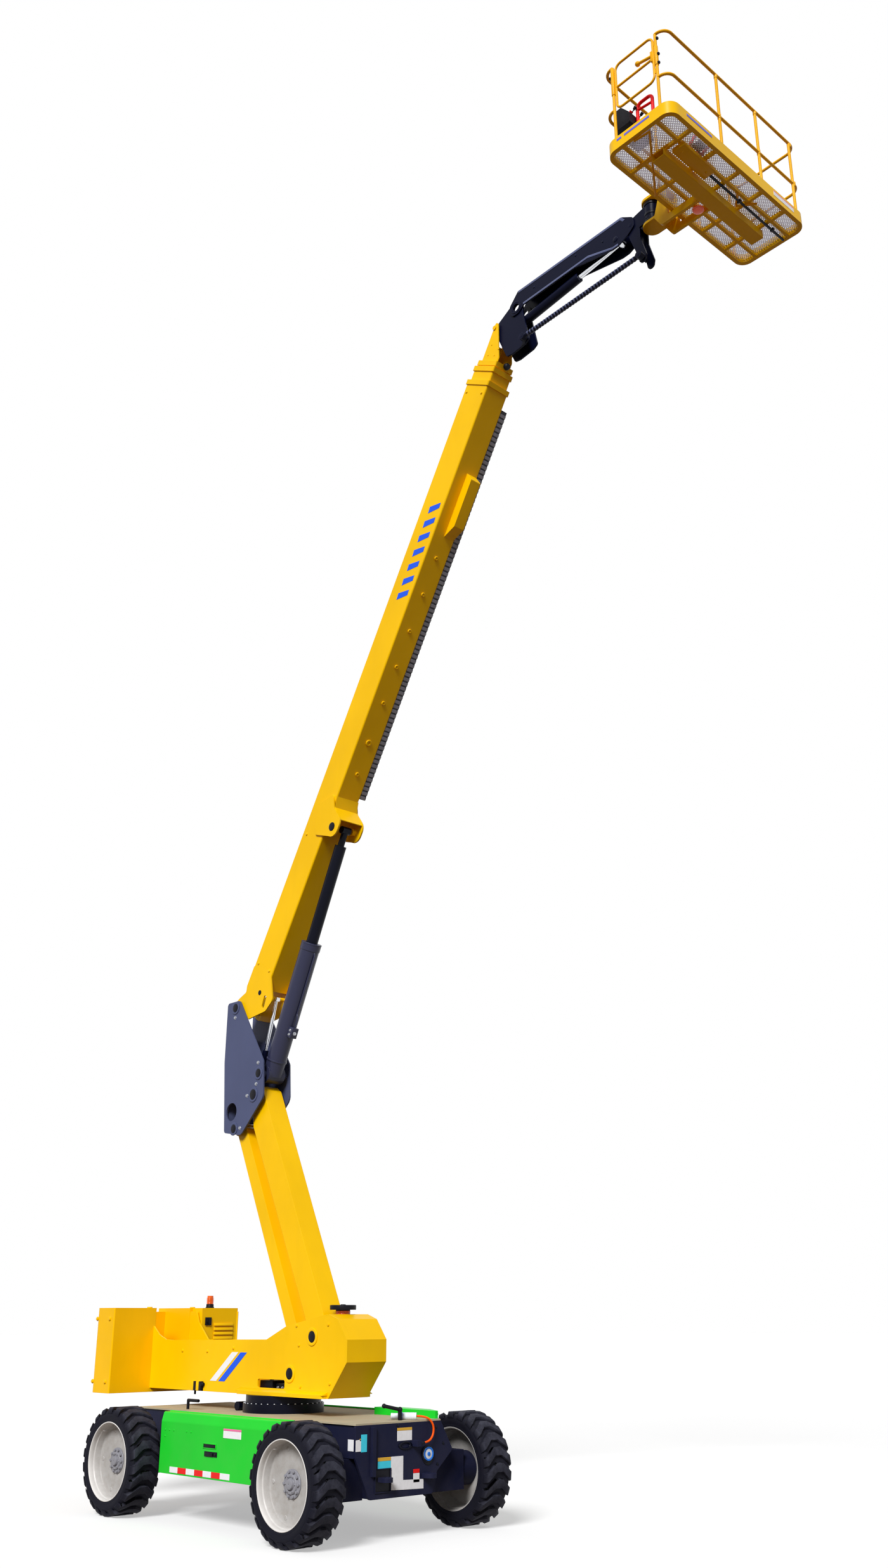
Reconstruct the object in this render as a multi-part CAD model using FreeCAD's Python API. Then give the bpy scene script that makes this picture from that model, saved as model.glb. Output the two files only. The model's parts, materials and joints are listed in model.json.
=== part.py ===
import FreeCAD, Part
import math
import os

# Self-propelled boom lift: an articulated, telescopic boom on a four-wheel battery chassis.
# Millimetres, +Z up, +X towards the fixed axle, +Y to the machine's left.
# The origin is on the floor under the slewing axis. Arms are drawn flat in their own
# (along, across, up) frame and then stood at the angle that they are parked at.

# ---- clearances ----
SEAT_GAP = 0.3          # between faces of different bodies that bear on each other
PIN_GAP = 0.3           # radial, round a hinge pin
RUN_GAP = 0.05          # radial, round a wheel spindle

# ---- wheels ----
TYRE_RADIUS = 528
TYRE_WIDTH = 370
TYRE_LUGS = 22
LUG_HEIGHT = 30
LUG_CREST = 0.27               # share of the pitch from a lug's middle to the edge of its top
LUG_FOOT = 0.33
LUG_FLAT_HALF = 45
LUG_ARM_END = 150
LUG_LAG = 9                    # degrees that an arm falls back by its end
LUG_LAG_EDGE = 11
SHOULDER_TOP = 486
SHOULDER_FLOOR = 470
RIM_RADIUS = 384
RIM_WALL = 14
RIM_WIDTH = 356
DISC_INSET = 150
DISC_THICKNESS = 14
HUB_RADIUS = 90
HUB_INSET = 100
HUB_CAP = 18
HUB_FLANGE_RADIUS = 126
HUB_FLANGE = 18
HUB_NOSE_RADIUS = 44
HUB_NOSE = 16
SPINDLE_RADIUS = 60
WHEEL_BOLTS = 10
BOLT_CIRCLE = 108
WHEEL_BOLT_RADIUS = 13
WHEEL_BOLT_HEIGHT = 16
FRONT_AXLE_X = 1660
REAR_AXLE_X = -1420
WHEEL_Y = 1065

# ---- axles and steering ----
AXLE_BOX_LENGTH = 340
AXLE_BOX_BOTTOM = 355
AXLE_BOX_TOP = 715
AXLE_BOX_END = 900
HUB_DRUM_RADIUS = 160
KINGPIN_Y = 920
KINGPIN_RADIUS = 35
KNUCKLE_RADIUS = 68
KNUCKLE_HEIGHT = 140
EAR_RADIUS = 70
EAR_THICKNESS = 50
STEER_BEAM_WIDTH = 300
STEER_BEAM_HEIGHT = 320
STEER_BEAM_END = 740
STEER_DRUM_RADIUS = 150
STEER_DRUM_OFFSET = 82
STEER_ARM = 240
STEER_ARM_WIDTH = 70
STEER_ARM_THICKNESS = 45
TIE_ROD_RADIUS = 20
TIE_EYE_RADIUS = 34
TIE_PIN_RADIUS = 12

# ---- chassis ----
DECK_TOP = 1020
DECK_THICKNESS = 15
FRAME_FRONT = 1930
FRAME_REAR = -1850
FRAME_BOTTOM = 460
FRAME_NOSE_BOTTOM = 370
FRAME_OVER_AXLE = 720
SPINE_HALF = 420
BODY_HALF = 600
END_PLATE = 25
TRAY_REAR = -760
TRAY_FRONT = 1040
TRAY_HALF = 965
TRAY_PLATE = 20
COVER_REAR = -780
COVER_FRONT = 1370
COVER_BOTTOM = 450
COVER_HALF = 1000
COVER_SKIN = 25
COVER_SHOULDER = 90
COVER_ARCH_GAP = 34
COVER_HINGE_Y = 895
BATTERY_LENGTH = 1500
BATTERY_HEIGHT = 420
BATTERY_MARGIN = 30
EYE_BORE = 30
EYE_OUTER = 60
EYE_THICKNESS = 40
TIE_DOWN_Y = 280
TIE_DOWN_FRONT_Z = 530
TIE_DOWN_REAR_Z = FRAME_OVER_AXLE + 90
RIB_Y = -430
RIB_WIDTH = 45
RIB_DEPTH = 30
RIB_BOTTOM = 560
RIB_DROP = 35
BOX_REAR = 1000            # the flat box on the deck's left edge
BOX_FRONT = 1930
BOX_INNER = 420
BOX_OUTER = 585
BOX_HEIGHT = 70
CORNER_FACE = [(1955, 460, 1020), (1955, 610, 770), (1600, 622, 1020)]     # cut off the front left corner

# ---- slewing ring ----
RING_RADIUS = 430
RING_BORE = 300
RING_LOWER = 90
RING_UPPER = 80
RING_STEP = 30
SWING_MOTOR_RADIUS = 45
SWING_MOTOR_LENGTH = 380

# ---- turntable ----
TABLE_HALF = 260
TABLE_PLATE = 20
TABLE_FLOOR = 15
TABLE_BASE = 30
TABLE_BASE_HALF = 330
TABLE_BASE_REAR = -430
TABLE_BASE_FRONT = 1070
TABLE_REAR = -2250
TABLE_LOW_TOP = 1710
NOSE_SKIN = 10
RISER_PIN = (793, 1767)
RISER_PIN_RADIUS = 45
LINK_OFFSET = (-360, -360)
LINK_PIN_RADIUS = 35
PIN_RECESS = 8
TABLE_SLOT = (-125, 350, 1260, 1345)

# ---- counterweight and what stands on the turntable's tail ----
WEIGHT_BOTTOM = 1145
WEIGHT_TOP = 2060
WEIGHT_HALF = 800
WEIGHT_SIDE = 360
WEIGHT_LENGTH = 700
WEIGHT_TAIL_HALF = 450
RECESS_HALF = 235
RECESS_BOTTOM = 1470
RECESS_LENGTH = 540
RECESS_WALL_DROP = 40
CABINET_INNER = 275
CABINET_OUTER = 790
CABINET_BOTTOM = 1260
CABINET_DEPTH = 185
CABINET_WALL = 12
DOOR_THICKNESS = 20
BEACON_X = -2150
BEACON_Y = 450
BEACON_RADIUS = 42
BEACON_BASE = 45
BEACON_HEIGHT = 140
LAMP_X = 965
LAMP_RADIUS = 135
LAMP_CAP = 44
LAMP_NECK_RADIUS = 75
LAMP_NECK = 55

# ---- riser and its parallel link ----
RISER_ANGLE = 117.0
RISER_LENGTH = 2935
RISER_HALF = 130
RISER_FRONT = 105
RISER_REAR_FOOT = 178
RISER_REAR_TOP = 217
RISER_WALL = 12
RISER_END = 95
LINK_HALF = 125
LINK_FRONT = 134
LINK_REAR = 36
LINK_WALL = 10
LINK_LOBE = 75

# ---- knuckle ----
KNUCKLE_HALF = 200
KNUCKLE_PLATE = 20
KNUCKLE_OUTLINE = [                # (along, up, corner radius) from the riser's top pin
    (-618, 1165, 40), (-372, 1168, 60), (165, 375, 60), (197, -47, 120), (-217, -445, 90), (-557, -389, 40),
    (-626, 447, 200)]
REAR_WALL = [(-560, -300), (-540, -300), (-588, 447), (-588, 760), (-608, 760), (-608, 447)]
BOOM_PIVOT = (-448, 1086)      # from the riser's top pin
BOOM_PIN_RADIUS = 40
CYLINDER_FOOT = (85, 238)      # from the riser's top pin
LIGHTENING_HOLE = (-427, -158)
LIGHTENING_RADIUS = 105

# ---- main boom, in its own frame from its pivot ----
BOOM_ANGLE = 59.5
BOOM_HALF = 165
BOOM_TOP = -12
BOOM_DEPTH = 405
BOOM_CORNER = 18
BASE_START = 400
FOOT_END = 560
BASE_END = 8056
HEEL_START = 600
HEEL_STEP = 160
SECTION_STEP = 180
THIRD_STEP = 76
STROKE = 3500
TELESCOPE_GAP = 10
BASE_WALL = 8
SECOND_WALL = 7
THIRD_WALL = 6
TIP_WALL = 6
COLLAR_LENGTH = 60
COLLAR_THICKNESS = 12
PAD_LENGTH = 120
TIP_BOX_END = 8298
TIP_PLATE = 14
TIP_PIVOT = (8760, -90)
TIP_PIN_RADIUS = 28
FOOT_PLATE = 20
CYLINDER_EYE = (2527, -555)
CYLINDER_LUG = 120
CYLINDER_LUG_PLATE = 20
CARRIER_START = 2920
CARRIER_END = 7860
WEDGE_START = 6200
WEDGE_LENGTH = 800
WEDGE_DEPTH = 120
CARRIER_WIDTH = 85
CARRIER_HEIGHT = 120
CARRIER_WALL = 6
CARRIER_TOP = -290

# ---- lift cylinder ----
BARREL_RADIUS = 115
BARREL_BORE = 76
BARREL_LENGTH = 1620
BARREL_EYE = 100
CYLINDER_PIN_RADIUS = 40
SLEEVE_RADIUS = 70
ROD_TIP_RADIUS = 40
ROD_EYE_RADIUS = 45
ROD_EYE_DROP = 30
ROD_START = 1200

# ---- level cylinder between knuckle and boom ----
LEVEL_FOOT = (-260, -82)       # from the riser's top pin
LEVEL_EYE = (330, -460)        # in the boom's frame
LEVEL_BARREL_RADIUS = 35
LEVEL_BARREL_LENGTH = 660
LEVEL_TAIL = 110
LEVEL_ROD_START = 462
LEVEL_ROD_RADIUS = 20
LEVEL_EYE_RADIUS = 30
LEVEL_PIN_RADIUS = 15

# ---- jib ----
JIB_ROOT = (334, 110)          # upper pivot from the boom tip's pivot
JIB_SPAN = (1740, 45)          # from the root pivots to the head's pivots
JIB_LINK_DROP = (135, -530)    # lower pivots from the upper ones
JIB_HALF = 96
JIB_PLATE = 12
JIB_TOP = 210
JIB_DEEP = -165
JIB_BRACKET_HALF = 80
JIB_BRACKET_PLATE = 20
JIB_PIN_RADIUS = 24
JIB_ROOT_RADIUS = 62
JIB_ROOT_BORE = 48
JIB_BARREL_FOOT = (-160, -210)
JIB_ROD_EYE = (1530, -50)
JIB_BARREL_RADIUS = 55
JIB_BARREL_BORE = 32
JIB_BARREL_LENGTH = 1080
JIB_ROD_RADIUS = 26
JIB_EYE_RADIUS = 44
JIB_EYE_HALF = 40
JIB_ROD_START = 560
JIB_LINK_RADIUS = 26
JIB_LINK_EYE_HALF = 30
JIB_LINK_EYE_RADIUS = 42
JIB_PIN_HEAD = 2
JIB_SIDE_GAP = 6

# ---- platform ----
ROTATOR_X = 240                # rotator's axis from the head's upper pivot
ROTATOR_RADIUS = 88
ROTATOR_BOTTOM = 13010
ROTATOR_TOP = 13300
PLATFORM_REACH = 740       # from the rotator's axis to the platform's middle
PLATFORM_BOTTOM = 12930
PLATFORM_LENGTH = 2340
PLATFORM_WIDTH = 850
PLATFORM_CORNER = 130
KICK_HEIGHT = 150
KICK_PLATE = 6
FLOOR_RIM = 45
FLOOR_RIB_HEIGHT = 40
FLOOR_RIB_WIDTH = 30
FLOOR_SHEET = 6
FLOOR_RIB_PITCH = 400
RAIL_RADIUS = 16
RAIL_RISE = 1120
RAIL_TOP = PLATFORM_BOTTOM + RAIL_RISE
RAIL_MIDDLE_RISE = 530
RAIL_MIDDLE = PLATFORM_BOTTOM + RAIL_MIDDLE_RISE
GATE_WIDTH = 560
MOUNT_HALF = 110
MOUNT_PLATE = 30
SUPPORT_HEIGHT = 100
SUPPORT_WIDTH = 150
SUPPORT_LENGTH = 1700
CONSOLE_LENGTH = 380
CONSOLE_FROM_END = 135
CONSOLE_BOTTOM = 13330
CONSOLE_HEIGHT = 260
CONSOLE_DEPTH = 200
GUARD_RADIUS = 18
GUARD_REACH = 195
GUARD_HEIGHT = 270
GUARD_BEND = 60
GUARD_FROM_END = 120

# ---- charging cable ----
CABLE_RADIUS = 10
PLUG_RADIUS = 32
PLUG_LENGTH = 170
PLUG_NOSE = 80
GLAND_BLOCK = 56
GLAND_REACH = 49
GLAND_RADIUS = 20
GLAND_LENGTH = 26
GLAND_Y = 144
GLAND_Z = 820
HINGE_RADIUS = 9
STANDPIPE_RADIUS = 16
STANDPIPE_X = -1060
STANDPIPE_Y = -500
STANDPIPE_RISE = 90
STANDPIPE_REACH = 200
LEVER_RADIUS = 17
LEVER_X = 1860
LEVER_Y = 15
LEVER_RISE = 95
LEVER_REACH = 205
LEVER_LIFT = 40


def vec(x, y, z):
    return FreeCAD.Vector(x, y, z)


def box(x0, x1, y0, y1, z0, z1):
    return Part.makeBox(x1 - x0, y1 - y0, z1 - z0, vec(x0, y0, z0))


def cylinder(foot, axis, radius, height):
    return Part.makeCylinder(radius, height, foot, axis)


def pin_y(at, radius, y0, y1):
    """A round bar along Y, at a point (x, z)."""
    return cylinder(vec(at[0], y0, at[1]), vec(0, 1, 0), radius, y1 - y0)


def rod(foot, head, radius):
    axis = head.sub(foot)
    return cylinder(foot, axis, radius, axis.Length)


def union(shapes):
    return shapes[0].fuse(shapes[1:]).removeSplitter()


def shifted(point, offset):
    return (point[0] + offset[0], point[1] + offset[1])


def mirrored(shape):
    return shape.mirror(vec(0, 0, 0), vec(0, 1, 0))


def rounded_edges(corners, radii):
    """Straight edges between corners, with a tangent arc of each corner's radius."""
    count = len(corners)
    edges = []
    ends = []
    for i in range(count):
        corner = corners[i]
        back = corners[i - 1].sub(corner).normalize()
        ahead = corners[(i + 1) % count].sub(corner).normalize()
        if radii[i] == 0:
            ends.append((corner, corner))
            continue
        half = 0.5 * back.getAngle(ahead)
        reach = radii[i] / math.tan(half)
        start = corner.add(back * reach)
        stop = corner.add(ahead * reach)
        inward = back.add(ahead).normalize()
        middle = corner.add(inward * (radii[i] / math.sin(half) - radii[i]))
        edges.append(Part.Arc(start, middle, stop).toShape())
        ends.append((start, stop))
    for i in range(count):
        start = ends[i - 1][1]
        stop = ends[i][0]
        if start.distanceToPoint(stop) > 0.001:
            edges.append(Part.LineSegment(start, stop).toShape())
    return Part.Wire(Part.__sortEdges__(edges))


def face_of(points, place):
    corners = [place(p[0], p[1]) for p in points]
    radii = [p[2] if len(p) > 2 else 0 for p in points]
    return Part.Face(rounded_edges(corners, radii))


def slab_y(points, y0, y1):
    """A side-view outline of (x, z) or (x, z, corner radius), from y0 to y1."""
    return face_of(points, lambda a, b: vec(a, y0, b)).extrude(vec(0, y1 - y0, 0))


def slab_z(points, z0, z1):
    """A plan outline of (x, y) or (x, y, corner radius), from z0 to z1."""
    return face_of(points, lambda a, b: vec(a, b, z0)).extrude(vec(0, 0, z1 - z0))


def slab_x(points, x0, x1):
    """An end-view outline of (y, z) or (y, z, corner radius), from x0 to x1."""
    return face_of(points, lambda a, b: vec(x0, a, b)).extrude(vec(x1 - x0, 0, 0))


def plate_pair(points, inner, outer):
    plate = slab_y(points, inner, outer)
    return [plate, mirrored(plate)]


def stub_pair(at, radius, inner, outer):
    stub = pin_y(at, radius, inner, outer)
    return [stub, mirrored(stub)]


def rectangle(a0, a1, b0, b1, radius):
    return [(a0, b0, radius), (a1, b0, radius), (a1, b1, radius), (a0, b1, radius)]


def stood(shape, foot, angle):
    """Turns a shape drawn along +X up to an angle and stands it at (x, z)."""
    turned = shape.copy()
    turned.rotate(vec(0, 0, 0), vec(0, -1, 0), angle)
    turned.translate(vec(foot[0], 0, foot[1]))
    return turned


def seen_from(foot, angle, point):
    """Where a point (along, up) of an arm's frame lies in the side view."""
    cos = math.cos(math.radians(angle))
    sin = math.sin(math.radians(angle))
    along, up = point
    return (foot[0] + along * cos - up * sin, foot[1] + along * sin + up * cos)


def revolved_y(profile):
    """Turns a closed profile of (radius, y) about the Y axis."""
    face = face_of(profile, lambda r, y: vec(r, y, 0))
    return face.revolve(vec(0, 0, 0), vec(0, 1, 0), 360)


def export(name, shape):
    shape.exportStep("parts/" + name + ".step")


# ---- where the pins are ----
LINK_PIN = shifted(RISER_PIN, LINK_OFFSET)
RISER_HEAD = seen_from(RISER_PIN, RISER_ANGLE, (RISER_LENGTH, 0))
LINK_HEAD = shifted(RISER_HEAD, LINK_OFFSET)
PIVOT = shifted(RISER_HEAD, BOOM_PIVOT)
LIFT_FOOT = shifted(RISER_HEAD, CYLINDER_FOOT)
LIFT_HEAD = seen_from(PIVOT, BOOM_ANGLE, (CYLINDER_EYE[0], CYLINDER_EYE[1] - ROD_EYE_DROP))
LEVEL_PIN = shifted(RISER_HEAD, LEVEL_FOOT)
LEVEL_HEAD = seen_from(PIVOT, BOOM_ANGLE, LEVEL_EYE)
JIB_PIVOT = seen_from(PIVOT, BOOM_ANGLE, TIP_PIVOT)
JIB_UPPER = shifted(JIB_PIVOT, JIB_ROOT)
JIB_LOWER = shifted(JIB_UPPER, JIB_LINK_DROP)
HEAD_UPPER = shifted(JIB_UPPER, JIB_SPAN)
HEAD_LOWER = shifted(HEAD_UPPER, JIB_LINK_DROP)
JIB_ANGLE = math.degrees(math.atan2(JIB_SPAN[1], JIB_SPAN[0]))
JIB_LENGTH = math.hypot(JIB_SPAN[0], JIB_SPAN[1])
JIB_LINK_Y = -(JIB_HALF + JIB_PIN_HEAD + JIB_SIDE_GAP + JIB_LINK_EYE_HALF)
JIB_CYLINDER_FOOT = shifted(JIB_UPPER, JIB_BARREL_FOOT)
JIB_CYLINDER_HEAD = seen_from(JIB_UPPER, JIB_ANGLE, JIB_ROD_EYE)
ROTATOR = HEAD_UPPER[0] + ROTATOR_X
PLATFORM_X = ROTATOR + PLATFORM_REACH
RING_BASE = DECK_TOP
RING_SPLIT = RING_BASE + RING_LOWER
TABLE_BOTTOM = RING_SPLIT + SEAT_GAP + RING_UPPER
HUB_SEAT = RIM_WIDTH / 2 - DISC_INSET


def angle_between(foot, head):
    return math.degrees(math.atan2(head[1] - foot[1], head[0] - foot[0]))


def span_between(foot, head):
    return math.hypot(head[0] - foot[0], head[1] - foot[1])


# ---- wheels ----
def tread_section(y, lag, top, floor):
    """The outline at one place along the axle, four corners to a lug, one of them on the ground."""
    pitch = 2 * math.pi / TYRE_LUGS
    points = []
    for i in range(TYRE_LUGS):
        middle = (i + 0.5 - LUG_CREST) * pitch - math.radians(lag)
        for turn, radius in ((-LUG_FOOT, floor), (-LUG_CREST, top), (LUG_CREST, top), (LUG_FOOT, floor)):
            angle = middle + turn * pitch
            points.append(vec(radius * math.cos(angle), y, radius * math.sin(angle)))
    return points


def bore_section(y):
    """The flat-sided seat round the rim, its flats just clear of it."""
    count = TYRE_LUGS * 4
    radius = (RIM_RADIUS + SEAT_GAP) / math.cos(math.pi / count)
    turns = [2 * math.pi * (i + 0.5) / count for i in range(count)]
    return [vec(radius * math.cos(turn), y, radius * math.sin(turn)) for turn in turns]


def flat_face(*corners):
    return Part.Face(Part.makePolygon(list(corners) + [corners[0]]))


def tyre():
    """A solid tyre with chevron lugs whose arms fall back from the middle."""
    half = TYRE_WIDTH / 2
    floor = TYRE_RADIUS - LUG_HEIGHT
    stations = [(half, LUG_LAG_EDGE, SHOULDER_TOP, SHOULDER_FLOOR), (LUG_ARM_END, LUG_LAG, TYRE_RADIUS, floor),
                (LUG_FLAT_HALF, 0, TYRE_RADIUS, floor)]
    stations = [(-y, lag, top, low) for y, lag, top, low in stations] + stations[::-1]
    sections = [tread_section(*station) for station in stations]
    faces = []
    count = len(sections[0])
    for near, far in zip(sections, sections[1:]):
        for i in range(count):
            j = (i + 1) % count
            faces.append(flat_face(near[i], near[j], far[j]))
            faces.append(flat_face(near[i], far[j], far[i]))
    inner = [bore_section(-half), bore_section(half)]
    for i in range(count):
        j = (i + 1) % count
        faces.append(flat_face(inner[0][i], inner[0][j], inner[1][j], inner[1][i]))
    for outer, hole in ((sections[0], inner[0]), (sections[-1], inner[1])):
        side = flat_face(*outer)
        faces.append(side.cut(flat_face(*hole)).Faces[0])
    shell = Part.makeShell(faces)
    shell.sewShape()
    return Part.makeSolid(Part.Shell(shell.Faces))


def rim():
    edge = RIM_WIDTH / 2
    bore = RIM_RADIUS - RIM_WALL
    shell = revolved_y([
        (bore, -edge), (RIM_RADIUS, -edge), (RIM_RADIUS, edge), (bore, edge)])
    disc = revolved_y([
        (SPINDLE_RADIUS + RUN_GAP, HUB_SEAT), (bore + 1, HUB_SEAT),
        (bore + 1, HUB_SEAT + DISC_THICKNESS), (SPINDLE_RADIUS + RUN_GAP, HUB_SEAT + DISC_THICKNESS)])
    hub_end = edge - HUB_INSET
    hub = cylinder(vec(0, HUB_SEAT, 0), vec(0, 1, 0), HUB_RADIUS, hub_end - HUB_SEAT)
    flange_end = HUB_SEAT + DISC_THICKNESS + HUB_FLANGE
    flange = cylinder(vec(0, HUB_SEAT, 0), vec(0, 1, 0), HUB_FLANGE_RADIUS, flange_end - HUB_SEAT)
    nose = cylinder(vec(0, hub_end - 1, 0), vec(0, 1, 0), HUB_NOSE_RADIUS, HUB_NOSE + 1)
    hub = union([hub, flange, nose])
    bore_end = hub_end - HUB_CAP
    hub = hub.cut(cylinder(vec(0, HUB_SEAT, 0), vec(0, 1, 0), SPINDLE_RADIUS + RUN_GAP, bore_end - HUB_SEAT))
    bolts = []
    for i in range(WHEEL_BOLTS):
        turn = 2 * math.pi * i / WHEEL_BOLTS
        foot = vec(BOLT_CIRCLE * math.cos(turn), flange_end, BOLT_CIRCLE * math.sin(turn))
        bolts.append(cylinder(foot, vec(0, 1, 0), WHEEL_BOLT_RADIUS, WHEEL_BOLT_HEIGHT))
    return union([shell, disc, hub] + bolts)


def spindle():
    """The drum and spindle that a wheel turns on, seated behind its disc."""
    reach = RIM_WIDTH / 2 - HUB_INSET - HUB_CAP - SEAT_GAP
    return cylinder(vec(0, HUB_SEAT - SEAT_GAP, 0), vec(0, 1, 0), SPINDLE_RADIUS, reach - HUB_SEAT + SEAT_GAP)


def at_wheel(shape, x, side):
    placed = shape if side > 0 else mirrored(shape)
    placed = placed.copy()
    placed.translate(vec(x, side * WHEEL_Y, TYRE_RADIUS))
    return placed


def wheels():
    corners = [("front", FRONT_AXLE_X), ("rear", REAR_AXLE_X)]
    for end, x in corners:
        for name, side in (("left", 1), ("right", -1)):
            export("tyre_" + end + "_" + name, at_wheel(tyre(), x, side))
            export("rim_" + end + "_" + name, at_wheel(rim(), x, side))


# ---- axles and steering ----
def fixed_axle(side):
    """A boxed axle end beside the frame, with its drive hub."""
    half = AXLE_BOX_LENGTH / 2
    low, high = sorted((side * SPINE_HALF, side * AXLE_BOX_END))
    housing = box(FRONT_AXLE_X - half, FRONT_AXLE_X + half, low, high, AXLE_BOX_BOTTOM, AXLE_BOX_TOP)
    drum_length = WHEEL_Y + HUB_SEAT - SEAT_GAP - AXLE_BOX_END
    drum = cylinder(vec(0, AXLE_BOX_END - WHEEL_Y, 0), vec(0, 1, 0), HUB_DRUM_RADIUS, drum_length)
    hub = at_wheel(union([drum, spindle()]), FRONT_AXLE_X, side)
    return union([housing, hub])


def steer_axle():
    half = STEER_BEAM_WIDTH / 2
    top = FRAME_OVER_AXLE - SEAT_GAP
    bottom = top - STEER_BEAM_HEIGHT
    beam = box(REAR_AXLE_X - half, REAR_AXLE_X + half, -STEER_BEAM_END, STEER_BEAM_END, bottom, top)
    pieces = [beam]
    gap = KNUCKLE_HEIGHT / 2
    for side in (1, -1):
        for up in (1, -1):
            inner = TYRE_RADIUS + up * gap
            outer = inner + up * EAR_THICKNESS
            low, high = sorted((inner, outer))
            outline = [
                (REAR_AXLE_X - half, side * (STEER_BEAM_END - 40)),
                (REAR_AXLE_X - EAR_RADIUS, side * (KINGPIN_Y + EAR_RADIUS), EAR_RADIUS - 1),
                (REAR_AXLE_X + EAR_RADIUS, side * (KINGPIN_Y + EAR_RADIUS), EAR_RADIUS - 1),
                (REAR_AXLE_X + half, side * (STEER_BEAM_END - 40))]
            pieces.append(slab_z(outline, low, high))
    axle = union(pieces)
    reach = gap + EAR_THICKNESS + 1
    for side in (1, -1):
        foot = vec(REAR_AXLE_X, side * KINGPIN_Y, TYRE_RADIUS - reach)
        axle = axle.cut(cylinder(foot, vec(0, 0, 1), KINGPIN_RADIUS + PIN_GAP, 2 * reach))
    return axle


def steer_knuckle(side):
    gap = KNUCKLE_HEIGHT / 2
    reach = gap + EAR_THICKNESS
    centre = vec(REAR_AXLE_X, side * KINGPIN_Y, TYRE_RADIUS)
    post = cylinder(centre.sub(vec(0, 0, gap - 2)), vec(0, 0, 1), KNUCKLE_RADIUS, KNUCKLE_HEIGHT - 4)
    pin = cylinder(centre.sub(vec(0, 0, reach)), vec(0, 0, 1), KINGPIN_RADIUS, 2 * reach)
    drum_foot = KINGPIN_Y + STEER_DRUM_OFFSET
    neck_ends = sorted((side * KINGPIN_Y, side * (drum_foot + 1)))
    neck = box(REAR_AXLE_X - 60, REAR_AXLE_X + 60, neck_ends[0], neck_ends[1],
               TYRE_RADIUS - gap + 2, TYRE_RADIUS + gap - 2)
    drum_length = WHEEL_Y + HUB_SEAT - SEAT_GAP - drum_foot
    drum = cylinder(vec(0, drum_foot - WHEEL_Y, 0), vec(0, 1, 0), STEER_DRUM_RADIUS, drum_length)
    hub = at_wheel(union([drum, spindle()]), REAR_AXLE_X, side)
    arm_z = TYRE_RADIUS - STEER_ARM_THICKNESS / 2
    half = STEER_ARM_WIDTH / 2
    arm = slab_z(rectangle(REAR_AXLE_X - STEER_ARM - half, REAR_AXLE_X, side * KINGPIN_Y - half,
                           side * KINGPIN_Y + half, half - 1), arm_z, arm_z + STEER_ARM_THICKNESS)
    hole = cylinder(vec(REAR_AXLE_X - STEER_ARM, side * KINGPIN_Y, arm_z - 1), vec(0, 0, 1),
                    TIE_PIN_RADIUS + PIN_GAP, STEER_ARM_THICKNESS + 2)
    return union([post, pin, neck, hub, arm]).cut(hole)


def tie_rod():
    x = REAR_AXLE_X - STEER_ARM
    arm_bottom = TYRE_RADIUS - STEER_ARM_THICKNESS / 2
    eye_height = 2 * TIE_ROD_RADIUS + 4
    z = arm_bottom - SEAT_GAP - eye_height / 2
    pieces = [rod(vec(x, -KINGPIN_Y, z), vec(x, KINGPIN_Y, z), TIE_ROD_RADIUS)]
    for side in (1, -1):
        foot = vec(x, side * KINGPIN_Y, z - eye_height / 2)
        pieces.append(cylinder(foot, vec(0, 0, 1), TIE_EYE_RADIUS, eye_height))
        pieces.append(cylinder(foot, vec(0, 0, 1), TIE_PIN_RADIUS, eye_height + STEER_ARM_THICKNESS))
    return union(pieces)


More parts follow.
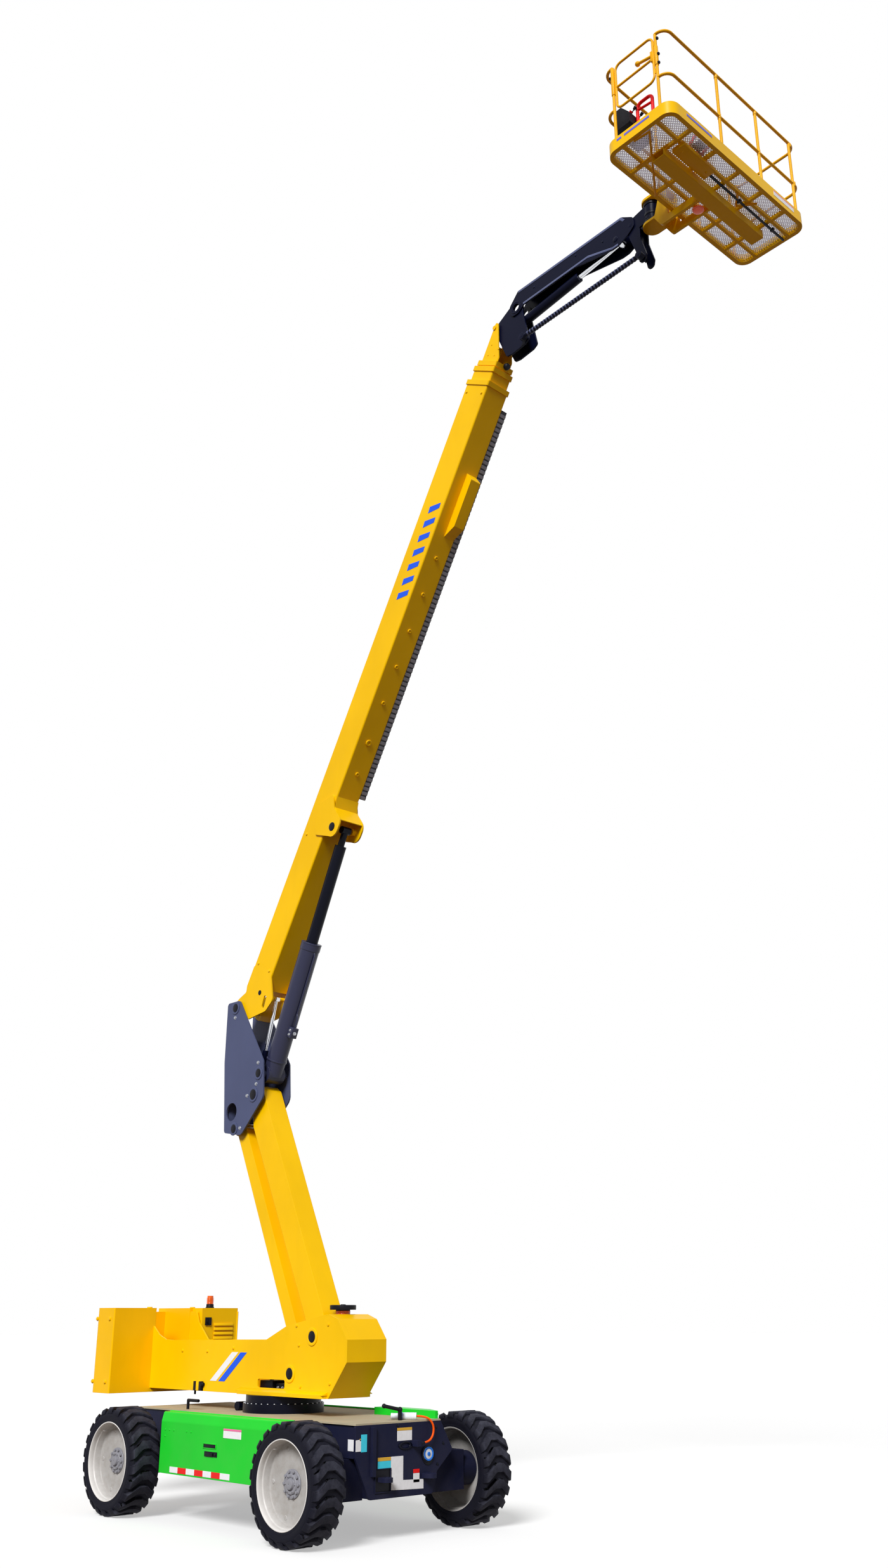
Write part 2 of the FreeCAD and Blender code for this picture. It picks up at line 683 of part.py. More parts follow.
# ---- chassis ----
def chassis_frame():
    top = DECK_TOP - DECK_THICKNESS
    spine = slab_y([
        (TRAY_REAR - 60, FRAME_BOTTOM), (TRAY_FRONT + 160, FRAME_BOTTOM),
        (FRONT_AXLE_X - 230, FRAME_NOSE_BOTTOM), (FRAME_FRONT, FRAME_NOSE_BOTTOM),
        (FRAME_FRONT, top), (TRAY_REAR - 60, top)], -SPINE_HALF, SPINE_HALF)
    front = box(TRAY_FRONT, FRAME_FRONT, -BODY_HALF, BODY_HALF, FRAME_OVER_AXLE, top)
    rear = box(FRAME_REAR, TRAY_REAR, -BODY_HALF, BODY_HALF, FRAME_OVER_AXLE, top)
    end_plate = slab_x([
        (-BODY_HALF - 20, FRAME_OVER_AXLE + 10), (-SPINE_HALF - 20, FRAME_NOSE_BOTTOM - 5, 30),
        (SPINE_HALF - 60, FRAME_NOSE_BOTTOM - 5, 30), (SPINE_HALF, FRAME_OVER_AXLE - 160, 20),
        (BODY_HALF + 20, FRAME_OVER_AXLE + 10, 30), (BODY_HALF + 20, top, 20), (-BODY_HALF - 20, top, 20)],
        FRAME_FRONT, FRAME_FRONT + END_PLATE)
    pieces = [spine, front, rear, end_plate]
    for side in (1, -1):
        low, high = sorted((side * (SPINE_HALF - 1), side * TRAY_HALF))
        pieces.append(box(TRAY_REAR, TRAY_FRONT, low, high, FRAME_BOTTOM, FRAME_BOTTOM + TRAY_PLATE))
        bulkhead = [
            (side * (SPINE_HALF - 1), FRAME_BOTTOM), (side * TRAY_HALF, FRAME_BOTTOM),
            (side * TRAY_HALF, top - COVER_SHOULDER), (side * (COVER_HINGE_Y + 40), top),
            (side * (SPINE_HALF - 1), top)]
        pieces.append(slab_x(bulkhead, TRAY_REAR, TRAY_REAR + TRAY_PLATE))
        pieces.append(slab_x(bulkhead, TRAY_FRONT - TRAY_PLATE, TRAY_FRONT))
    pieces += [tie_down(FRAME_FRONT + END_PLATE, 1, y, TIE_DOWN_FRONT_Z) for y in (-TIE_DOWN_Y, TIE_DOWN_Y)]
    pieces += [tie_down(FRAME_REAR, -1, y, TIE_DOWN_REAR_Z) for y in (-TIE_DOWN_Y, TIE_DOWN_Y)]
    rib = RIB_Y + RIB_WIDTH
    pieces.append(box(FRAME_FRONT, FRAME_FRONT + END_PLATE + RIB_DEPTH, RIB_Y, rib, RIB_BOTTOM, DECK_TOP - RIB_DROP))
    return union(pieces)


def tie_down(x, way, y, z):
    """A flat lashing eye that stands out of an end of the frame."""
    reach = way * EYE_OUTER
    low = z - EYE_THICKNESS / 2
    eye = cylinder(vec(x + reach, y, low), vec(0, 0, 1), EYE_OUTER, EYE_THICKNESS)
    near, far = sorted((x - way, x + reach))
    eye = eye.fuse(box(near, far, y - EYE_OUTER, y + EYE_OUTER, low, low + EYE_THICKNESS))
    return eye.cut(cylinder(vec(x + reach, y, low - 1), vec(0, 0, 1), EYE_BORE, EYE_THICKNESS + 2))


def deck():
    wide = COVER_HINGE_Y - 2
    narrow = BODY_HALF + 20
    outline = [
        (FRAME_REAR - 20, -narrow), (COVER_REAR, -narrow), (COVER_REAR, -wide), (COVER_FRONT - 10, -wide),
        (COVER_FRONT - 10, -narrow), (FRAME_FRONT + END_PLATE, -narrow), (FRAME_FRONT + END_PLATE, narrow),
        (COVER_FRONT - 10, narrow), (COVER_FRONT - 10, wide), (COVER_REAR, wide), (COVER_REAR, narrow),
        (FRAME_REAR - 20, narrow)]
    return slab_z(outline, DECK_TOP - DECK_THICKNESS, DECK_TOP)


def side_cover():
    """The bonnet over a battery bay, hinged along its inner top edge."""
    top = DECK_TOP + 10
    inner = COVER_HALF - COVER_SKIN
    skin = slab_x([
        (COVER_HINGE_Y, top), (COVER_HALF - 25, top, 20), (COVER_HALF, top - COVER_SHOULDER, 60),
        (COVER_HALF, COVER_BOTTOM), (inner, COVER_BOTTOM), (inner, top - COVER_SHOULDER, 50),
        (COVER_HALF - 40, top - COVER_SKIN, 10), (COVER_HINGE_Y, top - COVER_SKIN)], COVER_REAR, COVER_FRONT)
    arch = cylinder(vec(FRONT_AXLE_X, 0, TYRE_RADIUS), vec(0, 1, 0), TYRE_RADIUS + COVER_ARCH_GAP, 2 * COVER_HALF)
    skin = skin.cut(arch)
    lower = box(FRONT_AXLE_X - TYRE_RADIUS, COVER_FRONT + 1, 0, COVER_HALF + 1, 0, TYRE_RADIUS)
    length = COVER_FRONT - COVER_REAR
    barrel = cylinder(vec(COVER_REAR, COVER_HINGE_Y, top), vec(1, 0, 0), HINGE_RADIUS, length)
    return union([skin.cut(lower), barrel])


def deck_box():
    """A flat box along the deck's left edge, its outer corner cut away in front."""
    face = BOX_FRONT - 2 * (BOX_OUTER - BOX_INNER - 35)
    return slab_z([
        (BOX_REAR, BOX_INNER), (BOX_FRONT, BOX_INNER), (BOX_FRONT, BOX_INNER + 35), (face, BOX_OUTER),
        (BOX_REAR, BOX_OUTER)], DECK_TOP, DECK_TOP + BOX_HEIGHT)


def corner_room():
    """All that lies beyond the sloping face on the chassis's front left corner."""
    a, b, c = [vec(*point) for point in CORNER_FACE]
    way = c.sub(a).cross(b.sub(a)).normalize()
    if way.y < 0:
        way = way * -1
    room = Part.makeBox(900, 900, 300, vec(-450, -450, 0))
    room.Placement = FreeCAD.Placement(a, FreeCAD.Rotation(vec(0, 0, 1), way))
    return room


def battery():
    """A plain block in a side bay."""
    x0 = (TRAY_REAR + TRAY_FRONT - BATTERY_LENGTH) / 2
    z0 = FRAME_BOTTOM + TRAY_PLATE
    return box(x0, x0 + BATTERY_LENGTH, SPINE_HALF + BATTERY_MARGIN, COVER_HALF - COVER_SKIN - 2 * BATTERY_MARGIN,
               z0, z0 + BATTERY_HEIGHT)


def slew_ring_lower():
    ring = cylinder(vec(0, 0, RING_BASE), vec(0, 0, 1), RING_RADIUS, RING_LOWER)
    return ring.cut(cylinder(vec(0, 0, RING_BASE - 1), vec(0, 0, 1), RING_BORE, RING_LOWER + 2))


def slew_ring_upper():
    z = RING_SPLIT + SEAT_GAP
    ring = cylinder(vec(0, 0, z), vec(0, 0, 1), RING_RADIUS - RING_STEP, RING_UPPER)
    return ring.cut(cylinder(vec(0, 0, z - 1), vec(0, 0, 1), RING_BORE, RING_UPPER + 2))


def swing_drive():
    """The worm housing and its motor, beside the lower ring."""
    x = -(RING_RADIUS + SWING_MOTOR_RADIUS)
    z = RING_BASE + SWING_MOTOR_RADIUS
    motor = rod(vec(x, -SWING_MOTOR_LENGTH * 0.7, z), vec(x, SWING_MOTOR_LENGTH * 0.3, z), SWING_MOTOR_RADIUS)
    housing = box(x, -RING_RADIUS + 60, -100, 60, RING_BASE, RING_BASE + RING_LOWER)
    ring = cylinder(vec(0, 0, RING_BASE - 1), vec(0, 0, 1), RING_RADIUS, RING_LOWER + 2)
    return union([motor, housing]).cut(ring)


# ---- charging cable ----
def cable_route():
    """From the gland on the end plate round a half turn to the plug on the deck."""
    x = FRAME_FRONT + END_PLATE + GLAND_REACH
    plug = plug_end()
    return [
        vec(x, GLAND_Y + GLAND_LENGTH, GLAND_Z), vec(x, 262.5, GLAND_Z), vec(x, 328.5, 886),
        vec(x, 328.5, 981), vec(plug.x + 71, plug.y + 71, plug.z), plug]


def cord(points, radius):
    """A tube of straight runs joined by tangent arcs, as large as the runs allow."""
    edges = []
    start = points[0]
    radii = []
    for i in range(1, len(points) - 1):
        corner = points[i]
        back = points[i - 1].sub(corner)
        ahead = points[i + 1].sub(corner)
        reach = 0.45 * min(back.Length, ahead.Length)
        half = 0.5 * back.getAngle(ahead)
        bend = reach * math.tan(half)
        inward = back.normalize().add(ahead.normalize()).normalize()
        entry = corner.add(points[i - 1].sub(corner).normalize() * reach)
        leave = corner.add(points[i + 1].sub(corner).normalize() * reach)
        middle = corner.add(inward * (bend / math.sin(half) - bend))
        edges.append(Part.LineSegment(start, entry).toShape())
        edges.append(Part.Arc(entry, middle, leave).toShape())
        radii.append(round(bend))
        start = leave
    edges.append(Part.LineSegment(start, points[-1]).toShape())
    path = Part.Wire(edges)
    way = points[1].sub(points[0])
    section = Part.Wire(Part.makeCircle(radius, points[0], way))
    tube = path.makePipeShell([section], True, False)
    expected = math.pi * radius * radius * path.Length
    print("cable radii", radii, "volume ratio", round(tube.Volume / expected, 3))
    return tube


def plug_end():
    return vec(1903, 193, DECK_TOP + PLUG_RADIUS)


def charge_gland():
    """A block on the end plate whose fitting points sideways."""
    x = FRAME_FRONT + END_PLATE
    half = GLAND_BLOCK / 2
    block = box(x - 1, x + GLAND_REACH + half, GLAND_Y - GLAND_BLOCK, GLAND_Y, GLAND_Z - half, GLAND_Z + half)
    fitting = cylinder(vec(x + GLAND_REACH, GLAND_Y - 1, GLAND_Z), vec(0, 1, 0), GLAND_RADIUS,
                       GLAND_LENGTH + 1 - SEAT_GAP)
    return union([block, fitting])


def charge_plug():
    """A connector that lies aslant on the deck."""
    end = plug_end()
    slant = vec(-math.sqrt(0.5), -math.sqrt(0.5), 0)
    start = end.add(slant * SEAT_GAP)
    shoulder = start.add(slant * PLUG_LENGTH)
    body = rod(start, shoulder, PLUG_RADIUS)
    nose = rod(shoulder, shoulder.add(slant * PLUG_NOSE), PLUG_RADIUS - 6)
    return union([body, nose])


def standpipe():
    """A bent pipe stub on the deck."""
    top = DECK_TOP + STANDPIPE_RISE
    post = cylinder(vec(STANDPIPE_X, STANDPIPE_Y, DECK_TOP), vec(0, 0, 1), STANDPIPE_RADIUS, STANDPIPE_RISE)
    arm = cylinder(vec(STANDPIPE_X, STANDPIPE_Y, top), vec(1, 0, 0), STANDPIPE_RADIUS, STANDPIPE_REACH)
    elbow = Part.makeSphere(STANDPIPE_RADIUS, vec(STANDPIPE_X, STANDPIPE_Y, top))
    return union([post, arm, elbow])


def deck_lever():
    """A sloping handle on a short post."""
    top = vec(LEVER_X, LEVER_Y, DECK_TOP + LEVER_RISE)
    far = top.add(vec(0, -LEVER_REACH, LEVER_LIFT))
    post = cylinder(vec(LEVER_X, LEVER_Y, DECK_TOP), vec(0, 0, 1), LEVER_RADIUS * 1.2, LEVER_RISE)
    joint = Part.makeSphere(LEVER_RADIUS * 1.5, top)
    return union([post, joint, rod(top, far, LEVER_RADIUS), Part.makeSphere(LEVER_RADIUS * 1.3, far)])


# ---- turntable ----
def nose_outline():
    return [(345, 1868), (900, 1965), (1060, 1985), (1205, 1938), (1362, 1745), (1362, 1533), (1078, TABLE_BOTTOM)]


def turntable_frame():
    nose = nose_outline()
    skin = NOSE_SKIN
    front = [
        (1060, 1985 - skin), (1205 - skin / 2, 1938 - skin), (1362 - skin, 1745 - skin / 3),
        (1362 - skin, 1533 + skin / 2), (1078 - skin, TABLE_BOTTOM)]
    low = [
        (TABLE_REAR, TABLE_BOTTOM), (TABLE_REAR, 1860), (-2120, 1768, 120), (-1972, 1717, 90),
        (-1810, TABLE_LOW_TOP, 0), (-10, TABLE_LOW_TOP + 20, 60)]
    outline = list(reversed(front)) + [nose[1], nose[0]] + list(reversed(low))
    plates = plate_pair(outline, TABLE_HALF - TABLE_PLATE, TABLE_HALF)
    upstand = slab_y([
        (TABLE_REAR, 1700), (TABLE_REAR, 2020, 15), (-2110, 2020, 15), (-2060, 1900, 20), (-1830, 1700)],
        TABLE_HALF - TABLE_PLATE, TABLE_HALF)
    floor = box(TABLE_REAR, TABLE_BASE_REAR, -TABLE_HALF, TABLE_HALF, TABLE_BOTTOM, TABLE_BOTTOM + TABLE_FLOOR)
    base = slab_z(rectangle(TABLE_BASE_REAR, TABLE_BASE_FRONT - skin, -TABLE_BASE_HALF, TABLE_BASE_HALF, 40),
                  TABLE_BOTTOM, TABLE_BOTTOM + TABLE_BASE)
    frame = union(plates + [upstand, floor, base])
    x0, x1, z0, z1 = TABLE_SLOT
    frame = frame.cut(slab_y(rectangle(x0, x1, z0, z1, 20), -TABLE_HALF - 1, TABLE_HALF + 1))
    frame = frame.cut(pin_y(RISER_PIN, RISER_PIN_RADIUS + PIN_GAP, -TABLE_HALF - 1, TABLE_HALF + 1))
    return frame.cut(pin_y(LINK_PIN, LINK_PIN_RADIUS + PIN_GAP, -TABLE_HALF - 1, TABLE_HALF + 1))


def nose_cover():
    """The folded sheet that closes the turntable's nose."""
    outer = nose_outline()
    skin = NOSE_SKIN
    inner = [
        (1068, TABLE_BOTTOM), (1362 - skin, 1533 + skin / 2), (1362 - skin, 1745 - skin / 3),
        (1205 - skin / 2, 1938 - skin), (1060, 1985 - skin), (900, 1965 - skin)]
    outline = [outer[1], outer[2], outer[3], outer[4], outer[5], outer[6]] + inner
    wide = slab_y(outline, -TABLE_HALF, TABLE_HALF)
    top = slab_y([(860, 1940), (900, 1955), (900, 1965), (860, 1958)], -TABLE_HALF + TABLE_PLATE + 1,
                 TABLE_HALF - TABLE_PLATE - 1)
    plates = slab_y([(850, 1900), (1060, 1900), (1060, 1985 - skin), (900, 1965), (850, 1957)],
                    TABLE_HALF - TABLE_PLATE - SEAT_GAP, TABLE_HALF + 1)
    return union([wide, top]).cut(plates).cut(mirrored(plates))


def counterweight():
    rear = TABLE_REAR - WEIGHT_LENGTH
    outline = [
        (TABLE_REAR, -WEIGHT_HALF, 15), (TABLE_REAR, WEIGHT_HALF, 15),
        (TABLE_REAR - WEIGHT_SIDE, WEIGHT_HALF, 60), (rear, WEIGHT_TAIL_HALF, 80),
        (rear, -WEIGHT_TAIL_HALF, 80), (TABLE_REAR - WEIGHT_SIDE, -WEIGHT_HALF, 60)]
    block = slab_z(outline, WEIGHT_BOTTOM, WEIGHT_TOP)
    recess = box(TABLE_REAR - RECESS_LENGTH, TABLE_REAR + 1, -RECESS_HALF, RECESS_HALF, RECESS_BOTTOM, WEIGHT_TOP + 1)
    wall = box(rear - 1, TABLE_REAR - RECESS_LENGTH + 1, -RECESS_HALF, RECESS_HALF,
               WEIGHT_TOP - RECESS_WALL_DROP, WEIGHT_TOP + 1)
    return block.cut(recess).cut(wall)


def service_cabinet():
    """An open-fronted box on the counterweight's left, closed by its door."""
    front = TABLE_REAR + CABINET_DEPTH
    shell = box(TABLE_REAR, front, CABINET_INNER, CABINET_OUTER, CABINET_BOTTOM, WEIGHT_TOP)
    wall = CABINET_WALL
    hollow = box(TABLE_REAR + wall, front + 1, CABINET_INNER + wall, CABINET_OUTER - wall,
                 CABINET_BOTTOM + wall, WEIGHT_TOP - wall)
    bracket = box(TABLE_REAR, front - 20, TABLE_HALF, CABINET_INNER + 1, 1400, 1600)
    return union([shell.cut(hollow), bracket])


def cabinet_door():
    front = TABLE_REAR + CABINET_DEPTH + SEAT_GAP
    panel = slab_x(rectangle(CABINET_INNER, CABINET_OUTER, CABINET_BOTTOM, WEIGHT_TOP, 6),
                   front, front + DOOR_THICKNESS)
    hinge = vec(front + DOOR_THICKNESS, CABINET_OUTER, CABINET_BOTTOM + 40)
    barrel = cylinder(hinge, vec(0, 0, 1), HINGE_RADIUS, WEIGHT_TOP - CABINET_BOTTOM - 80)
    return union([panel, barrel])


def beacon():
    base = cylinder(vec(BEACON_X, BEACON_Y, WEIGHT_TOP), vec(0, 0, 1), BEACON_RADIUS, BEACON_BASE)
    top = WEIGHT_TOP + BEACON_BASE
    dome = cylinder(vec(BEACON_X, BEACON_Y, top), vec(0, 0, 1), BEACON_RADIUS - 6, BEACON_HEIGHT - BEACON_BASE)
    return union([base, dome])


def front_lamp():
    """A low flashing lamp under a flat guard, on the nose."""
    seat = 1965 + (LAMP_X - 900) * 20 / 160
    neck = cylinder(vec(LAMP_X, 0, seat - 12), vec(0, 0, 1), LAMP_NECK_RADIUS, LAMP_NECK + 12)
    neck = neck.cut(slab_y([(800, 1900), (1200, 1950), (1060, 1985), (900, 1965), (800, 1952)], -200, 200))
    cap = cylinder(vec(LAMP_X, 0, seat + LAMP_NECK), vec(0, 0, 1), LAMP_RADIUS, LAMP_CAP)
    return union([neck, cap])


# ---- riser and link ----
def riser():
    """A tapered box, open at its ends, with a pin through each."""
    far = RISER_LENGTH
    outline = [
        (-RISER_END, -60, 40), (-20, -RISER_FRONT, 40), (far, -RISER_FRONT - 7, 30),
        (far + RISER_END, -60, 30), (far + RISER_END, 60, 30), (far - 60, 120, 60),
        (far - 290, RISER_REAR_TOP, 30), (60, RISER_REAR_FOOT, 60), (-RISER_END, 70, 50)]
    body = slab_y(outline, -RISER_HALF, RISER_HALF)
    inner = [
        (160, -RISER_FRONT + RISER_WALL), (far - 170, -RISER_FRONT - 7 + RISER_WALL),
        (far - 300, RISER_REAR_TOP - RISER_WALL - 8), (160, RISER_REAR_FOOT - RISER_WALL)]
    side = RISER_HALF - RISER_WALL
    hollow = slab_y(inner, -side, side)
    body = body.cut(hollow)
    mouth = slab_y([(120, 20), (200, 20), (200, 110), (120, 110)], -side, side)
    body = body.cut(mouth)
    body = body.cut(pin_y((far, 0), RISER_PIN_RADIUS + PIN_GAP, -RISER_HALF - 1, RISER_HALF + 1))
    pin = pin_y((0, 0), RISER_PIN_RADIUS, -TABLE_HALF + PIN_RECESS, TABLE_HALF - PIN_RECESS)
    return stood(union([body, pin]), RISER_PIN, RISER_ANGLE)


def riser_link():
    far = RISER_LENGTH
    body = slab_y([
        (60, -LINK_FRONT, 60), (far - 60, -LINK_FRONT, 60), (far + 40, -40, 40), (far + 40, LINK_REAR, 30),
        (-40, LINK_REAR, 30), (-40, -40, 40)], -LINK_HALF, LINK_HALF)
    side = LINK_HALF - LINK_WALL
    body = body.cut(slab_y([
        (150, -LINK_FRONT + LINK_WALL), (far - 150, -LINK_FRONT + LINK_WALL),
        (far - 150, LINK_REAR - LINK_WALL), (150, LINK_REAR - LINK_WALL)], -side, side))
    lobes = [pin_y((s, 0), LINK_LOBE, -LINK_HALF, LINK_HALF) for s in (0, far)]
    body = union([body] + lobes)
    body = body.cut(pin_y((far, 0), LINK_PIN_RADIUS + PIN_GAP, -LINK_HALF - 1, LINK_HALF + 1))
    pin = pin_y((0, 0), LINK_PIN_RADIUS, -TABLE_HALF + PIN_RECESS, TABLE_HALF - PIN_RECESS)
    return stood(union([body, pin]), LINK_PIN, RISER_ANGLE)


# ---- knuckle ----
def knuckle():
    outline = [shifted(RISER_HEAD, p[:2]) + (p[2],) for p in KNUCKLE_OUTLINE]
    plates = plate_pair(outline, KNUCKLE_HALF - KNUCKLE_PLATE, KNUCKLE_HALF)
    hole = shifted(RISER_HEAD, LIGHTENING_HOLE)
    plates = [p.cut(pin_y(hole, LIGHTENING_RADIUS, -KNUCKLE_HALF - 1, KNUCKLE_HALF + 1)) for p in plates]
    inner = KNUCKLE_HALF - KNUCKLE_PLATE + 1
    wall = slab_y([shifted(RISER_HEAD, p) for p in REAR_WALL], -inner, inner)
    end = KNUCKLE_HALF - 6
    pins = [
        pin_y(PIVOT, BOOM_PIN_RADIUS, -end, end), pin_y(RISER_HEAD, RISER_PIN_RADIUS, -end, end),
        pin_y(LINK_HEAD, LINK_PIN_RADIUS, -end, end), pin_y(LIFT_FOOT, CYLINDER_PIN_RADIUS, -end, end)]
    return union(plates + [wall] + pins)


def level_barrel():
    """The level cylinder's barrel, held by the knuckle's plates on a cross pin."""
    angle = angle_between(LEVEL_PIN, LEVEL_HEAD)
    barrel = rod(vec(-LEVEL_TAIL, 0, 0), vec(LEVEL_BARREL_LENGTH, 0, 0), LEVEL_BARREL_RADIUS)
    bore = LEVEL_ROD_RADIUS + PIN_GAP
    inner = KNUCKLE_HALF - KNUCKLE_PLATE
    trunnion = pin_y((0, 0), LEVEL_BARREL_RADIUS - 6, -inner, inner)
    barrel = union([barrel, trunnion])
    floor = LEVEL_BARREL_RADIUS - LEVEL_ROD_RADIUS - LEVEL_TAIL
    barrel = barrel.cut(rod(vec(floor, 0, 0), vec(LEVEL_BARREL_LENGTH + 1, 0, 0), bore))
    return stood(barrel, LEVEL_PIN, angle)


def level_rod():
    angle = angle_between(LEVEL_PIN, LEVEL_HEAD)
    span = span_between(LEVEL_PIN, LEVEL_HEAD)
    shaft = rod(vec(LEVEL_ROD_START, 0, 0), vec(span - LEVEL_EYE_RADIUS / 2, 0, 0), LEVEL_ROD_RADIUS)
    eye = pin_y((span, 0), LEVEL_EYE_RADIUS, -25, 25)
    eye = eye.cut(pin_y((span, 0), LEVEL_PIN_RADIUS, -26, 26))
    return stood(union([shaft, eye]), LEVEL_PIN, angle)



# ---- main boom ----
def tube_section(half, top, depth, wall, start, end):
    """A rounded box tube along the boom, open at both ends."""
    bottom = top - depth
    outer = slab_x(rectangle(-half, half, bottom, top, BOOM_CORNER), start, end)
    inner = slab_x(rectangle(-half + wall, half - wall, bottom + wall, top - wall, BOOM_CORNER / 2),
                   start - 1, end + 1)
    return outer.cut(inner)


def collar(half, top, depth, inner_half, inner_top, inner_depth, start):
    """A thicker ring round a section's mouth, whose bore guides the next section."""
    grow = COLLAR_THICKNESS
    outer = slab_x(rectangle(-half - grow, half + grow, top - depth - grow, top + grow, BOOM_CORNER),
                   start, start + COLLAR_LENGTH)
    bore = slab_x(rectangle(-inner_half - SEAT_GAP, inner_half + SEAT_GAP, inner_top - inner_depth - SEAT_GAP,
                            inner_top + SEAT_GAP, BOOM_CORNER), start - 1, start + COLLAR_LENGTH + 1)
    return outer.cut(bore)


def section_sizes():
    """Half width, top, depth and wall of each tube, from the outermost in."""
    sizes = []
    half = BOOM_HALF
    top = BOOM_TOP
    depth = BOOM_DEPTH
    for wall in (BASE_WALL, SECOND_WALL, THIRD_WALL, TIP_WALL):
        sizes.append((half, top, depth, wall))
        step = wall + TELESCOPE_GAP
        half -= step
        top -= step
        depth -= 2 * step
    return sizes


def telescoped(index, start, end):
    """A tube with its mouth collar and the pads at its inner end."""
    sizes = section_sizes()
    half, top, depth, wall = sizes[index]
    inner = sizes[index + 1]
    tube = tube_section(half, top, depth, wall, start, end)
    ring = collar(half, top, depth, inner[0], inner[1], inner[2], end - COLLAR_LENGTH / 2)
    pieces = [tube, ring]
    if index > 0:
        pieces.append(heel_pads(index, start))
    return union(pieces)


def heel_pads(index, start):
    """The pads round a section's inner end, which slide in the section outside it."""
    half, top, depth, wall = section_sizes()[index]
    reach = TELESCOPE_GAP - SEAT_GAP
    outer = slab_x(rectangle(-half - reach, half + reach, top - depth - reach, top + reach, BOOM_CORNER / 2),
                   start, start + PAD_LENGTH)
    bore = slab_x(rectangle(-half + wall, half - wall, top - depth + wall, top - wall, BOOM_CORNER / 2),
                  start - 1, start + PAD_LENGTH + 1)
    return outer.cut(bore)


def boom_base():
    half, top, depth, wall = section_sizes()[0]
    bottom = top - depth
    foot = [
        (FOOT_END, top), (300, top), (229, -40, 30), (110, 50, 40), (30, 92, 40),
        (-80, 85, 50), (-98, -20, 50), (-30, -268, 40), (185, -540, 60), (345, -600, 60), (430, -530, 40),
        (FOOT_END, bottom)]
    plates = plate_pair(foot, half - FOOT_PLATE, half)
    tube = telescoped(0, BASE_START, BASE_END)
    eye_x, eye_z = CYLINDER_EYE
    lug = CYLINDER_LUG
    lug_outline = [
        (eye_x - lug - 60, bottom + 120, 40), (eye_x - lug, eye_z, 60), (eye_x - lug, eye_z - lug, lug - 5),
        (eye_x + lug, eye_z - lug, lug - 5), (eye_x + lug + 90, eye_z + 90, 60), (eye_x + lug + 240, bottom + 60, 40),
        (eye_x + lug + 60, bottom + 250, 60), (eye_x - 60, bottom + 230, 60)]
    lugs = plate_pair(lug_outline, half, half + CYLINDER_LUG_PLATE)
    wrap = slab_y([
        (eye_x + lug - 10, eye_z - lug + 30), (eye_x + lug, eye_z - lug + 30), (eye_x + lug + 100, eye_z + 95),
        (eye_x + lug + 230, bottom), (eye_x + lug + 216, bottom), (eye_x + lug + 90, eye_z + 95)],
        -half, half)
    pivot_bosses = stub_pair((0, 0), 75, half - FOOT_PLATE, half)
    cylinder_pins = stub_pair(CYLINDER_EYE, CYLINDER_PIN_RADIUS, half - 60, half + CYLINDER_LUG_PLATE - 12)
    level_pins = stub_pair(LEVEL_EYE, LEVEL_PIN_RADIUS + 10, 40, half - FOOT_PLATE + 1)
    wedge = slab_y([
        (WEDGE_START, bottom + 1), (WEDGE_START + 150, bottom - WEDGE_DEPTH, 20),
        (WEDGE_START + WEDGE_LENGTH - 60, bottom - WEDGE_DEPTH, 20), (WEDGE_START + WEDGE_LENGTH, bottom + 1)],
        0, half - BOOM_CORNER)
    base = union([tube, wedge] + plates + lugs + [wrap] + pivot_bosses + cylinder_pins + level_pins)
    base = base.cut(pin_y((0, 0), BOOM_PIN_RADIUS + PIN_GAP, -half - 1, half + 1))
    slot = slab_y([(200, -490, 20), (345, -465, 20), (340, -415, 20), (195, -440, 20)], -half - 1, -half + FOOT_PLATE + 1)
    base = base.cut(slot)
    recess = pin_y(CYLINDER_EYE, CYLINDER_PIN_RADIUS, half + CYLINDER_LUG_PLATE - 12, half + CYLINDER_LUG_PLATE + 1)
    base = base.cut(recess).cut(mirrored(recess))
    return stood(base, PIVOT, BOOM_ANGLE)


def boom_second():
    return stood(telescoped(1, HEEL_START, BASE_END + SECTION_STEP), PIVOT, BOOM_ANGLE)


def boom_third():
    return stood(telescoped(2, HEEL_START + HEEL_STEP, BASE_END + SECTION_STEP + THIRD_STEP), PIVOT, BOOM_ANGLE)


def boom_tip():
    half, top, depth, wall = section_sizes()[3]
    bottom = top - depth
    start = HEEL_START + 2 * HEEL_STEP
    tube = tube_section(half, top, depth, wall, start, TIP_BOX_END)
    pads = heel_pads(3, start)
    x, z = TIP_PIVOT
    outline = [
        (TIP_BOX_END - 1, top), (x + 20, top, 20), (x + 62, z + 20, 30), (x + 62, z - 30, 30),
        (x - 20, z - 75, 40), (TIP_BOX_END + 100, bottom, 30), (TIP_BOX_END - 1, bottom)]
    plates = plate_pair(outline, half - TIP_PLATE, half)
    roof = box(TIP_BOX_END - 1, x - 160, -half, half, top - wall, top)
    envelope = slab_x(rectangle(-half, half, bottom, top, BOOM_CORNER), start, x + 100)
    fork = union(plates + [roof]).common(envelope)
    pin = pin_y(TIP_PIVOT, TIP_PIN_RADIUS, -half - 12, half + 12)
    return stood(union([tube, pads, fork, pin]), PIVOT, BOOM_ANGLE)


def cable_carrier():
    """The trough for hoses along the boom's left side."""
    y0 = BOOM_HALF
    y1 = BOOM_HALF + CARRIER_WIDTH
    bottom = CARRIER_TOP - CARRIER_HEIGHT
    outer = box(CARRIER_START, CARRIER_END, y0, y1, bottom, CARRIER_TOP)
    wall = CARRIER_WALL
    hollow = box(CARRIER_START - 1, CARRIER_END + 1, y0 + wall, y1 - wall, bottom + wall, CARRIER_TOP - wall)
    return stood(outer.cut(hollow), PIVOT, BOOM_ANGLE)


